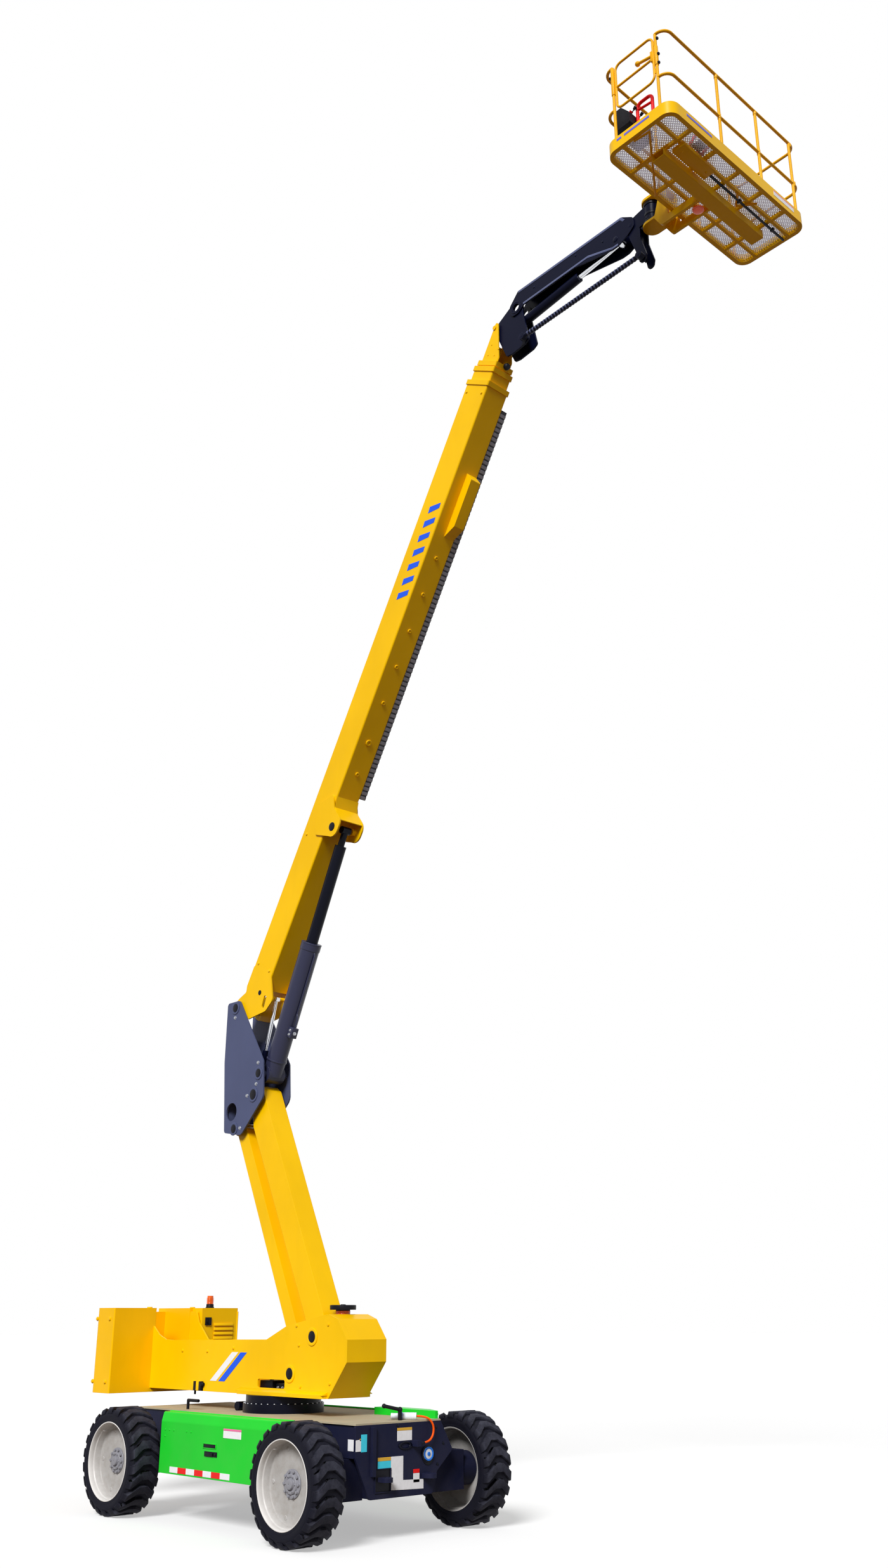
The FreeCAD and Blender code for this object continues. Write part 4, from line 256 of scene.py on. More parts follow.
def spunRim(name, colour, outer):
    # lacquered rim: a painted highlight at the lip, painted shade darkening down in the dish, and grime
    # mottled into that shade
    finish = Finish(name, Specular_IOR_Level=0.35, Coat_Roughness=0.2)
    soft, corner = finish.edges(0.004)
    dish_shade = finish.step(finish.maths("ABSOLUTE", finish.height("Y"), 0.0), outer - 0.012, outer - 0.140)
    cloud = finish.noise(4.0, 5.0, 0.6)
    grime = finish.noise(16.0, 6.0, 0.7)
    # painted shade: darker the deeper into the dish
    base = finish.blend(dish_shade, colour, shaded(colour, 0.50))
    base = finish.blend(finish.step(cloud, 0.35, 0.70) * 0.4, base, shaded(colour, 0.62))
    base = finish.blend(dish_shade * finish.step(grime, 0.4, 0.7) * 0.35, base, tone(120, 106, 92))
    # painted highlight: near-white along the lip
    finish.colour(finish.blend(corner * 0.7, base, tone(244, 244, 248)))
    finish.rough(finish.step(grime, 0.3, 0.8) * 0.2 + 0.28)
    finish.bump(finish.noise(60.0, 4.0), 0.05, 0.001, soft)
    return finish.material


def nonSlip(name, colour):
    # gritty deck paint with scuffed tracks
    finish = Finish(name, Specular_IOR_Level=0.3)
    grit = finish.node("ShaderNodeTexVoronoi", {}, {"Vector": finish.place, "Scale": 220.0}, "Distance")
    cloud = finish.noise(2.2, 6.0, 0.65)
    scuff = finish.step(finish.noise(9.0, 8.0, 0.7), 0.5, 0.68)
    base = finish.clouded(cloud, 0.3, 0.7, colour, 0.85, 1.1)
    base = finish.blend(scuff * 0.35, base, tone(196, 150, 124))
    finish.colour(base)
    finish.rough(finish.step(grit, 0.1, 0.6) * 0.15 + 0.68)
    finish.bump(grit, 0.55, 0.0015)
    return finish.material


def meshSheet(name, colour, pitch=0.03, bar=0.34):
    # pressed mesh: open cells between flat strands
    finish = Finish(name, Roughness=0.45, Metallic=0.3)
    along = finish.height("X") * (2 * math.pi / pitch)
    across = finish.height("Y") * (2 * math.pi / pitch)
    wave = finish.node("ShaderNodeMath", {"operation": "COSINE"}, {0: along + across})
    other = finish.node("ShaderNodeMath", {"operation": "COSINE"}, {0: along - across})
    ridge = finish.node("ShaderNodeMath", {"operation": "MAXIMUM"}, {0: wave, 1: other})
    solid = finish.step(ridge, bar, bar + 0.15)
    cloud = finish.noise(10.0, 4.0)
    finish.colour(finish.blend(cloud, shaded(colour, 0.9), shaded(colour, 1.08)))
    finish.feed(finish.shader.inputs["Alpha"], solid)
    finish.bump(ridge, 0.5, 0.002)
    return finish.material


def sticker(name, colour):
    # printed vinyl with a soft satin and slightly greyed rim
    finish = Finish(name, Specular_IOR_Level=0.2)
    cloud = finish.noise(30.0, 5.0, 0.6)
    soft, corner = finish.edges(0.004)
    base = finish.clouded(cloud, 0.3, 0.8, colour, 0.93, 1.03)
    finish.colour(finish.blend(corner * 0.5, base, shaded(colour, 0.6)))
    finish.rough(finish.step(cloud, 0.2, 0.8) * 0.1 + 0.3)
    finish.bump(cloud, 0.05, 0.0005, soft)
    return finish.material


looks = {
    "safety_yellow": paint("yellowPaint", tone(252, 197, 0), dust=0.08),
    "rail_yellow": paint("railPaint", tone(246, 180, 10), edge=0.002),
    "weight_yellow": paint("weightPaint", tone(250, 192, 0), roughness=0.38, dust=0.1),
    "cover_green": paint("greenPaint", tone(28, 206, 46), roughness=0.32, dust=0.08, wear_and_highlight=1.6),
    "frame_grey": paint("framePaint", tone(26, 29, 54), roughness=0.42, dust=0.05, wear_and_highlight=3.0, coat=0.0,
                        shine=0.06),
    "ring_black": paint("ringPaint", tone(6, 8, 24), roughness=0.3, wear_and_highlight=4.0, edge=0.005, coat=0.0,
                        shine=0.12),
    "knuckle_slate": paint("knucklePaint", tone(76, 83, 116), roughness=0.38, wear_and_highlight=1.9),
    # the jib's strong corner lightening is a painted highlight along its edges
    "jib_navy": paint("jibPaint", tone(10, 14, 38), roughness=0.3, wear_and_highlight=10.0, edge=0.008, coat=0.0,
                      shine=0.06),
    # lighter slate copy of the jib navy: painted highlight for the beam's lit edges and the link's rib crests
    "jib_edge": paint("jibEdgeHighlight", tone(92, 100, 136), roughness=0.34, wear_and_highlight=1.4),
    "rim_silver": spunRim("rimPaint", tone(226, 223, 220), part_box("rim_front_left")[1][1]),
    "hub_grey": paint("hubPaint", tone(134, 134, 142), dust=0.1, wear_and_highlight=1.6, edge=0.002, shine=0.3),
    "guard_red": paint("redPaint", tone(240, 22, 26), roughness=0.32, edge=0.002),
    "deck_tan": nonSlip("deckPaint", tone(178, 168, 142)),
    "tyre_black": rubber("tyreRubber", tone(15, 15, 26)),
    "black_plastic": plastic("blackPlastic", tone(9, 9, 18)),
    # a lighter copy of the carrier's grey: painted highlight on the link ribs
    "carrier_link": plastic("carrierLinksHighlight", tone(150, 152, 166), texture=220.0),
    "barrel_slate": paint("barrelPaint", tone(46, 48, 74), roughness=0.3, wear_and_highlight=2.4, shine=0.25),
    "battery_grey": plastic("batteryCase", tone(64, 66, 74), texture=160.0),
    "plug_white": plastic("plugShell", tone(226, 232, 240), roughness=0.4, texture=500.0, strength=0.06),
    "plug_blue": plastic("plugBand", tone(40, 120, 225), roughness=0.4, texture=500.0, strength=0.06),
    "cable_orange": plastic("cableSheath", tone(245, 88, 8), roughness=0.45, texture=600.0, strength=0.05),
    "amber_lens": lens("amberLens", tone(255, 112, 8)),
    "lamp_orange": lens("lampLens", tone(240, 96, 10)),
    "bare_steel": metal("machinedSteel", tone(176, 178, 184), 0.34),
    "rod_chrome": metal("groundChrome", tone(222, 224, 230), 0.14),
    "sheet_aluminium": meshSheet("walkMesh", tone(206, 206, 224)),
    "white_vinyl": sticker("whiteVinyl", tone(244, 244, 248)),
    "amber_vinyl": sticker("amberVinyl", tone(226, 176, 60)),
    "cyan_vinyl": sticker("cyanVinyl", tone(70, 215, 240)),
    "rose_vinyl": sticker("roseVinyl", tone(244, 120, 170)),
    "red_vinyl": sticker("redVinyl", tone(240, 22, 20)),
    "blue_vinyl": sticker("blueVinyl", tone(20, 90, 240)),
    "lilac_vinyl": sticker("lilacVinyl", tone(104, 104, 222)),
}
print("finishes mixed:", len(looks))


# the mesh bench: shapes are put into one open mesh and closed off as a piece
class Arm:
    # an arm's own frame: along it, across the machine, and up from it
    def __init__(self, foot, degrees):
        self.matrix = Matrix.Translation(foot) @ Matrix.Rotation(-math.radians(degrees), 4, "Y")

    def at(self, along, across, up):
        return self.matrix @ Vector((along, across, up))

    def way(self, along, up):
        return self.at(along, 0, up) - self.at(0, 0, 0)


def addBlock(mesh, low, high, matrix=None):
    low, high = Vector(low), Vector(high)
    made = bmesh.ops.create_cube(mesh, size=1)["verts"]
    bmesh.ops.scale(mesh, vec=high - low, verts=made)
    bmesh.ops.translate(mesh, vec=(low + high) / 2, verts=made)
    if matrix:
        bmesh.ops.transform(mesh, matrix=matrix, verts=made)


def addBar(mesh, start, end, radius, endRadius=None, sides=24):
    start, end = Vector(start), Vector(end)
    turn = (end - start).to_track_quat("Z", "Y").to_matrix().to_4x4()
    bmesh.ops.create_cone(mesh, cap_ends=True, segments=sides, radius1=radius,
                          radius2=radius if endRadius is None else endRadius, depth=(end - start).length,
                          matrix=Matrix.Translation((start + end) / 2) @ turn)


def addSheet(mesh, outline, push, matrix=None):
    # a flat outline of any corners, given its thickness by a push
    corners = [mesh.verts.new(corner) for corner in outline]
    face = [mesh.faces.new(corners)]
    made = bmesh.ops.extrude_face_region(mesh, geom=face)["geom"]
    far = [item for item in made if isinstance(item, bmesh.types.BMVert)]
    bmesh.ops.translate(mesh, vec=push, verts=far)
    if matrix:
        bmesh.ops.transform(mesh, matrix=matrix, verts=corners + far)


def addPlate(mesh, outline, low, high, matrix=None):
    # an outline of (a, b) in the side view, from low to high across the machine
    addSheet(mesh, [(a, low, b) for a, b in outline], (0, high - low, 0), matrix)


def addLoft(mesh, sections):
    # a face that is drawn through one section after another
    before = [Vector(point) for point in sections[0]]
    corners = [mesh.verts.new(point) for point in before]
    face = bmesh.ops.contextual_create(mesh, geom=corners)["faces"][0]
    for section in sections[1:]:
        made = bmesh.ops.extrude_face_region(mesh, geom=[face])["geom"]
        face = next(item for item in made if isinstance(item, bmesh.types.BMFace))
        for vert in face.verts:
            nearest = min(range(len(before)), key=lambda i: (vert.co - before[i]).length_squared)
            vert.co = Vector(section[nearest])
        before = [Vector(point) for point in section]


def addSpin(mesh, profile, centre, axis, steps=64):
    # a profile of (distance along the axis, radius) turned into a closed ring
    axis = Vector(axis).normalized()
    side = axis.orthogonal().normalized()
    points = [mesh.verts.new(Vector(centre) + axis * along + side * radius) for along, radius in profile]
    rims = [mesh.edges.new((points[i - 1], points[i])) for i in range(len(points))]
    bmesh.ops.spin(mesh, geom=points + rims, cent=centre, axis=axis, angle=2 * math.pi, steps=steps,
                   use_merge=True)


def addBolts(mesh, spots, way, size, tall):
    # hexagon heads on their washers
    way = Vector(way).normalized()
    for spot in spots:
        at = Vector(spot)
        addBar(mesh, at - way * 0.002, at + way * 0.002, size * 1.25, sides=16)
        addBar(mesh, at, at + way * tall, size, sides=6)


def addCap(mesh, at, way, radius, tall, sink=0.002):
    # a domed cover over the end of a pin
    at, way = Vector(at), Vector(way).normalized()
    addBar(mesh, at - way * sink, at + way * tall * 0.6, radius, sides=32)
    addBar(mesh, at + way * tall * 0.6, at + way * tall, radius, radius * 0.7, sides=32)


def addBoss(mesh, at, way, inner, outer, tall):
    # a raised ring round a bore
    addSpin(mesh, [(0.0, inner), (0.0, outer), (tall * 0.7, outer), (tall, outer - tall * 0.3),
                   (tall, inner + tall * 0.2), (tall * 0.8, inner)], at, way, 40)


def addTube(mesh, points, radius, sides=12):
    # a hard pipe: straight lengths with a ball at each bend
    for i in range(len(points) - 1):
        addBar(mesh, points[i], points[i + 1], radius, sides=sides)
    for point in points[1:-1]:
        bmesh.ops.create_uvsphere(mesh, u_segments=sides, v_segments=8, radius=radius * 1.002,
                                  matrix=Matrix.Translation(point))


def closePiece(name, mesh, look, body, slot=None, bevel=0.0015, segments=2, replaces=()):
    bmesh.ops.recalc_face_normals(mesh, faces=mesh.faces)
    if bevel:
        corners = [edge for edge in mesh.edges
                   if len(edge.link_faces) == 2 and edge.calc_face_angle(0) > math.radians(sharp["bevelled"])]
        bmesh.ops.bevel(mesh, geom=corners, offset=bevel, offset_type="OFFSET", affect="EDGES",
                        segments=segments, profile=0.5, material=-1, clamp_overlap=True)
    data = bpy.data.meshes.new(name)
    mesh.to_mesh(data)
    mesh.free()
    data.shade_smooth()
    data.set_sharp_from_angle(angle=math.radians(sharp["shaded"]))
    data.materials.append(looks[look])
    piece = addObject(name, data)
    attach(piece, body)
    slot or look in recordSlots
    if replaces:
        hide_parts(*replaces)


def closeVinyl(name, mesh, look, body, slot):
    closePiece(name, mesh, look, body, slot, bevel=0.0004, segments=1)


def around(count, radius, start=0.0):
    # places round a circle
    turns = [2 * math.pi * (i + start) / count for i in range(count)]
    return [(radius * math.cos(turn), radius * math.sin(turn)) for turn in turns]


def rectangle(left, right, low, high):
    return [(left, low), (right, low), (right, high), (left, high)]


def stripsRound(box, rim):
    # the four strips of a rim, each as (left, right, low, high)
    left, right, low, high = box
    return [(left - rim, right + rim, high, high + rim), (left - rim, right + rim, low - rim, low),
            (left - rim, left, low, high), (right, right + rim, low, high)]


def hue(look):
    return look.split("_")[0]


recordSlots = {entry["slot"] for entry in frame["record"]["materials"]}
sharp = {"bevelled": 28, "shaded": 38}      # degrees
sides = {"left": 1, "right": -1}
ahead, across, overhead = Vector((1, 0, 0)), Vector((0, 1, 0)), Vector((0, 0, 1))
sunk = 0.001        # how far a fitting is let into the face it lies on


# charging cable, its boot, and its plug as profiles of (distance from the cable's end, radius)
cable = {
    "route": [(2.004, 0.170, 0.820), (2.004, 0.2625, 0.820), (2.004, 0.3285, 0.886), (2.004, 0.3285, 0.981),
              (1.974, 0.264, 1.052), (1.903, 0.193, 1.052)],
    "radius": 0.010, "bootRibs": 5, "bootPitch": 0.007, "bootTaper": 0.0009,
    "bootRib": [(0.004, 0.0175), (0.005, 0.0159), (0.007, 0.0159), (0.008, 0.0169)],
    "bootEnd": (0.040, 0.0112),
    "plugWay": (-1, -1, 0), "fingerRings": 7, "firstRing": 0.030, "ringPitch": 0.014,
    "finger": [(0.0, 0.031), (0.001, 0.0338), (0.006, 0.0338), (0.007, 0.031)],
    "collar": [(0.164, 0.031), (0.166, 0.033), (0.1735, 0.033), (0.1735, 0.025)],
    "nose": [(0.236, 0.025), (0.237, 0.028), (0.247, 0.028), (0.248, 0.025)],
    "band": [(0.136, 0.031), (0.136, 0.0335), (0.162, 0.0335), (0.162, 0.031)]}


def buildCable():
    data = bpy.data.curves.new("chargeCable", "CURVE")
    data.dimensions = "3D"
    data.bevel_depth = cable["radius"]
    data.bevel_resolution = 6
    data.resolution_u = 24
    line = data.splines.new("NURBS")
    line.points.add(len(cable["route"]) - 1)
    for point, place in zip(line.points, cable["route"]):
        point.co = (*place, 1.0)
    line.order_u = 3
    line.use_endpoint_u = True
    data.materials.append(looks["cable_orange"])
    cord = addObject("chargeCable", data)
    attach(cord, "chassis")
    return cord


def buildRelief():
    # ribbed boot where the cable leaves its gland
    bore, (end, mouth) = cable["radius"] * 0.98, cable["bootEnd"]
    profile = [(0.0, bore), (0.0, 0.018)]
    for i in range(cable["bootRibs"]):
        shift, taper = i * cable["bootPitch"], i * cable["bootTaper"]
        profile += [(along + shift, wide - taper) for along, wide in cable["bootRib"]]
    profile += [(end, mouth), (end, bore)]
    mesh = bmesh.new()
    addSpin(mesh, profile, cable["route"][0], across, 40)
    closePiece("cableBoot", mesh, "black_plastic", "chassis", bevel=0.0004, segments=1)


def dressPlug():
    # finger rings round the connector, a collar, a ring at its nose and a blue band
    end, way = Vector(cable["route"][-1]), Vector(cable["plugWay"]).normalized()
    mesh = bmesh.new()
    for i in range(cable["fingerRings"]):
        shift = cable["firstRing"] + i * cable["ringPitch"]
        addSpin(mesh, [(along + shift, wide) for along, wide in cable["finger"]], end, way, 56)
    addSpin(mesh, cable["collar"], end, way, 56)
    addSpin(mesh, cable["nose"], end, way, 56)
    closePiece("plugRings", mesh, "plug_white", "chassis", bevel=0.0005)
    mesh = bmesh.new()
    addSpin(mesh, cable["band"], end, way, 56)
    closePiece("plugBand", mesh, "plug_blue", "chassis", "plug_white", bevel=0.0005)


cord = buildCable()
buildRelief()
dressPlug()
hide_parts("charge_cable")
print("charging cable laid")


# floor, sky and lights
studio = {"sky": 0.34, "sun": 3.5, "sunWay": (-0.40, 0.70, -0.59), "soft": 20, "floor": 0.60, "lift": 0.42,
          "bounce": (0.13, 0.082, 0.045, 1), "span": 140, "drop": 0.002}


def seenPlainly(tree):
    # one for what the eye meets directly, in a mirror or through glass
    path = tree.nodes.new("ShaderNodeLightPath")
    total = path.outputs["Is Camera Ray"]
    for kind in ("Is Glossy Ray", "Is Transmission Ray"):
        join = tree.nodes.new("ShaderNodeMath")
        join.operation = "MAXIMUM"
        tree.links.new(total, join.inputs[0])
        tree.links.new(path.outputs[kind], join.inputs[1])
        total = join.outputs[0]
    return total


def shadeFloor():
    # white where it is looked at, dull where it only throws light back
    finish = Finish("studioFloor", Specular_IOR_Level=0.0, Roughness=1.0, Emission_Color=(1, 1, 1, 1),
                    Emission_Strength=studio["lift"])
    cloud = finish.noise(0.35, 3.0)
    bright = studio["floor"]
    finish.colour(finish.blend(cloud, (bright,) * 3 + (1,), (bright + 0.02,) * 3 + (1,)))
    dull = finish.tree.nodes.new("ShaderNodeBsdfDiffuse")
    dull.inputs["Color"].default_value = studio["bounce"]
    mix = finish.tree.nodes.new("ShaderNodeMixShader")
    finish.tree.links.new(seenPlainly(finish.tree), mix.inputs[0])
    finish.tree.links.new(dull.outputs[0], mix.inputs[1])
    finish.tree.links.new(finish.shader.outputs[0], mix.inputs[2])
    finish.tree.links.new(mix.outputs[0], finish.tree.nodes["Material Output"].inputs["Surface"])
    return finish.material


def buildStudio():
    mesh = bmesh.new()
    bmesh.ops.create_grid(mesh, x_segments=1, y_segments=1, size=studio["span"])
    bmesh.ops.translate(mesh, vec=(0, 0, -studio["drop"]), verts=mesh.verts)
    data = bpy.data.meshes.new("studioFloor")
    mesh.to_mesh(data)
    mesh.free()
    data.materials.append(shadeFloor())
    floor = addObject("studioFloor", data)
    world = bpy.data.worlds.new("studio")
    bpy.context.scene.world = world
    world.use_nodes = True
    tree = world.node_tree
    sky = tree.nodes["Background"]
    sky.inputs["Color"].default_value = (studio["sky"],) * 3 + (1,)
    white = tree.nodes.new("ShaderNodeBackground")
    white.inputs["Color"].default_value = (1, 1, 1, 1)
    mix = tree.nodes.new("ShaderNodeMixShader")
    tree.links.new(seenPlainly(tree), mix.inputs[0])
    tree.links.new(sky.outputs[0], mix.inputs[1])
    tree.links.new(white.outputs[0], mix.inputs[2])
    tree.links.new(mix.outputs[0], tree.nodes["World Output"].inputs["Surface"])
    data = bpy.data.lights.new("keySun", "SUN")
    data.energy = studio["sun"]
    data.angle = math.radians(studio["soft"])
    sun = addObject("keySun", data)
    sun.rotation_euler = Vector(studio["sunWay"]).to_track_quat("-Z", "Y").to_euler()
    bpy.context.scene.view_settings.view_transform = "Standard"


buildStudio()


# the CAD nodes take their finishes
slots = {part["node"]: part["material_slot"] for part in frame["record"]["subparts"]}
for name, node in nodes.items():
    for holder in node.material_slots:
        holder.material = looks[slots[name]]
print("nodes dressed:", len(nodes))


# wheels
wheel = {
    "radius": 0.528, "lugs": 22, "foot": 0.489, "crest": 0.27, "root": 0.34, "scuffAndSheen": (0.515, 0.49),
    "stations": [(0.184, 11.0, 0.480), (0.172, 10.3, 0.506), (0.158, 9.5, 0.523), (0.150, 9.0, 0.528),
                 (0.098, 4.5, 0.528), (0.045, 0.0, 0.528)],
    "flank": [(0.178, 0.3843), (0.178, 0.392), (0.181, 0.402), (0.179, 0.408), (0.1845, 0.430),
              (0.1835, 0.455), (0.176, 0.474), (0.150, 0.496)],
    "crown": (0.0, 0.497),
    "rim": [(0.178, 0.384), (0.1795, 0.381), (0.1795, 0.376), (0.176, 0.372), (0.168, 0.369), (0.150, 0.366),
            (0.128, 0.365), (0.118, 0.356), (0.060, 0.350), (0.050, 0.344), (0.045, 0.330), (0.043, 0.250),
            (0.047, 0.215), (0.047, 0.150), (0.044, 0.061), (0.028, 0.061), (0.028, 0.340), (-0.118, 0.356),
            (-0.128, 0.366), (-0.170, 0.370), (-0.178, 0.384)],
    "hub": [(0.040, 0.061), (0.047, 0.118), (0.047, 0.126), (0.055, 0.126), (0.060, 0.121), (0.060, 0.092),
            (0.074, 0.086), (0.078, 0.080), (0.078, 0.061), (0.068, 0.054), (0.072, 0.050), (0.094, 0.044),
            (0.0965, 0.030), (0.0975, 0.004), (0.061, 0.004), (0.061, 0.061)],
    "plugs": 5, "plugCircle": 0.30, "plugFace": 0.044, "valveCircle": 0.348, "valveFoot": 0.090,
    "valveTurn": 2.2, "nuts": (10, 0.106, 0.015, 0.060), "capBolts": (6, 0.070, 0.007, 0.078),
    "axles": {"front": 1.660, "rear": -1.420}, "axleY": 1.065}


def lugSection(y, middle, lag, top):
    pitch = 2 * math.pi / wheel["lugs"]
    foot, crest, root = min(wheel["foot"], top - 0.014), wheel["crest"], wheel["root"]
    points = []
    for turn, radius in ((-root, foot), (-crest, top), (crest, top), (root, foot)):
        angle = middle - math.radians(lag) + turn * pitch
        points.append(Vector((radius * math.cos(angle), y, radius * math.sin(angle))))
    return points


def buildTyre(name, centre):
    mesh = bmesh.new()
    crest = mesh.verts.layers.float.new("tread")
    flank = wheel["flank"]
    addSpin(mesh, [(-y, far) for y, far in flank[::-1]] + flank + [wheel["crown"]], (0, 0, 0), across, 132)
    stations = [(-y, lag, top) for y, lag, top in wheel["stations"]] + [(0.0, 0.0, wheel["radius"])]
    stations += wheel["stations"][::-1]
    for i in range(wheel["lugs"]):
        middle = (i + 0.5 - wheel["crest"]) * 2 * math.pi / wheel["lugs"]
        addLoft(mesh, [lugSection(y, middle, lag, top) for y, lag, top in stations])
    # lug tops and shoulders marked for the lighter tone: partly scuffing, partly painted highlight
    top, shoulder = wheel["scuffAndSheen"]
    for vert in mesh.verts:
        far = math.hypot(vert.co.x, vert.co.z)
        vert[crest] = 1.0 if far > top else 0.25 if far > shoulder else 0.0
    bmesh.ops.translate(mesh, vec=centre, verts=mesh.verts)
    closePiece("tread_" + name, mesh, "tyre_black", "wheel_" + name, bevel=0.005, replaces=["tyre_" + name])


def buildRim(name, centre, way):
    mesh = bmesh.new()
    addSpin(mesh, wheel["rim"], centre, across * way, 96)
    for x, z in around(wheel["plugs"], wheel["plugCircle"], 0.5):
        spot = centre + Vector((x, way * wheel["plugFace"], z))
        addBar(mesh, spot, spot + across * way * 0.003, 0.020)
    far, turn = wheel["valveCircle"], wheel["valveTurn"]
    valve = centre + Vector((far * math.cos(turn), way * wheel["valveFoot"], far * math.sin(turn)))
    addBar(mesh, valve, valve + across * way * 0.035, 0.006, 0.004, sides=12)
    closePiece("dish_" + name, mesh, "rim_silver", "wheel_" + name, replaces=["rim_" + name])
    mesh = bmesh.new()
    addSpin(mesh, wheel["hub"], centre, across * way, 72)
    for count, circle, size, seat in (wheel["nuts"], wheel["capBolts"]):
        spots = [centre + Vector((x, way * seat, z)) for x, z in around(count, circle)]
        addBolts(mesh, spots, across * way, size, size * 1.1)
    closePiece("hub_" + name, mesh, "hub_grey", "wheel_" + name, "rim_silver", bevel=0.0012)


for end, x in wheel["axles"].items():
    for side, way in sides.items():
        name, centre = end + "_" + side, Vector((x, way * wheel["axleY"], wheel["radius"]))
        buildTyre(name, centre)
        buildRim(name, centre, way)
print("wheels on")


# front end plate: labels as outlines of (y, z)
endPlate = {
    "face": 1.955, "sheet": 0.0022,
    "white_vinyl": [rectangle(-0.101, 0.088, 0.848, 0.936),
                    [(-0.177, 0.431), (-0.022, 0.425), (0.240, 0.417), (0.240, 0.500), (-0.022, 0.508),
                     (-0.022, 0.717), (-0.177, 0.717)],
                    rectangle(0.109, 0.188, 0.478, 0.556),
                    [(-0.616, 0.783), (-0.552, 0.783), (-0.552, 0.885), (-0.616, 0.880)]],
    "amber_vinyl": [rectangle(-0.101, 0.088, 0.937, 0.962), rectangle(-0.342, -0.178, 0.686, 0.717),
                    rectangle(-0.568, -0.553, 0.872, 0.892)],
    "cyan_vinyl": [rectangle(-0.551, -0.479, 0.776, 0.926), rectangle(-0.342, -0.178, 0.622, 0.685)],
    "red_vinyl": [rectangle(0.109, 0.188, 0.557, 0.592)],
    "cornerLabel": ((1.822, -0.602, 0.783), (1.929, -0.600, 0.882)),
    "recess": (-0.372, -0.186, 0.425, 0.616), "recessRim": 0.008, "inlet": (0.290, 0.717),
    "inletRadius": 0.060,
    "socket": [(0.0, 0.062), (0.0, 0.078), (0.012, 0.078), (0.016, 0.074), (0.016, 0.062)],
    "ring": [(0.018, 0.044), (0.018, 0.0615), (0.026, 0.0615), (0.026, 0.056), (0.023, 0.044)],
    "handle": (0.000, 0.806), "handleStretch": (1, 2.0, 0.8),
    "grip": [(0.0, 0.026), (0.0, 0.044), (0.010, 0.044), (0.014, 0.040), (0.014, 0.032), (0.004, 0.026)],
    "bolts": [(-0.40, 0.95), (0.40, 0.95), (0.50, 0.80), (0.36, 0.50), (-0.10, 0.985), (0.42, 0.62)]}


def buildEndPlate():
    face = endPlate["face"]
    for look in ("white_vinyl", "amber_vinyl", "cyan_vinyl", "red_vinyl"):
        mesh = bmesh.new()
        for outline in endPlate[look]:
            addSheet(mesh, [(face - sunk, y, z) for y, z in outline], (endPlate["sheet"] + sunk, 0, 0))
        if look == "white_vinyl":
            addBlock(mesh, *endPlate["cornerLabel"])
        closeVinyl("endLabels_" + hue(look), mesh, look, "chassis", "frame_grey")
    mesh = bmesh.new()
    # black block flush over the recess: painted shade standing for its hollow
    left, right, low, high = endPlate["recess"]
    addBlock(mesh, (face - sunk, left, low), (face + 0.002, right, high))
    y, z = endPlate["inlet"]
    addCap(mesh, (face, y + 0.006, z - 0.030), ahead, 0.070, 0.010)
    addSpin(mesh, endPlate["socket"], (face, y, z), ahead, 48)
    closePiece("endSockets", mesh, "black_plastic", "chassis")
    mesh = bmesh.new()
    addBar(mesh, (face, y, z), (face + 0.022, y, z), endPlate["inletRadius"], sides=48)
    closePiece("inletShell", mesh, "plug_white", "chassis", bevel=0.003)
    mesh = bmesh.new()
    addSpin(mesh, endPlate["ring"], (face, y, z), ahead, 48)
    addBar(mesh, (face + 0.02, y, z), (face + 0.027, y, z), 0.018, sides=32)
    closePiece("inletRing", mesh, "plug_blue", "chassis", "plug_white", bevel=0.001)
    mesh = bmesh.new()
    addSpin(mesh, endPlate["grip"], (0, 0, 0), ahead, 48)
    bmesh.ops.scale(mesh, vec=endPlate["handleStretch"], verts=mesh.verts)
    bmesh.ops.translate(mesh, vec=(face, *endPlate["handle"]), verts=mesh.verts)
    addBolts(mesh, [(face, y, z) for y, z in endPlate["bolts"]], ahead, 0.012, 0.008)
    closePiece("endHandle", mesh, "ring_black", "chassis", bevel=0.001)
    mesh = bmesh.new()
    for left, right, low, high in stripsRound(endPlate["recess"], endPlate["recessRim"]):
        addBlock(mesh, (face, left, low), (face + 0.010, right, high))
    closePiece("recessRim", mesh, "frame_grey", "chassis")


buildEndPlate()


# side covers: boxes of (rear, front, low, high)
cover = {
    "face": 1.0, "sheet": 0.0022,
    "white_vinyl": [(0.357, 0.662, 0.836, 0.902), (-0.575, 0.497, 0.465, 0.520)],
    "rose_vinyl": [(0.357, 0.662, 0.903, 0.922)],
    "red_vinyl": [(-0.424, -0.272, 0.465, 0.520), (-0.120, 0.032, 0.465, 0.520),
                  (0.180, 0.332, 0.465, 0.520)],
    "slot": (0.020, 0.235, 0.732, 0.766), "slotRim": 0.008,
    "latch": (0.045, 0.266, 0.654, 0.700), "grip": (0.065, 0.206, 0.662, 0.692), "key": (0.238, 0.677),
    "studs": [(-0.70, 0.86), (-0.62, 0.86), (-0.54, 0.86), (-0.70, 0.80), (-0.30, 0.86), (-0.22, 0.86)]}


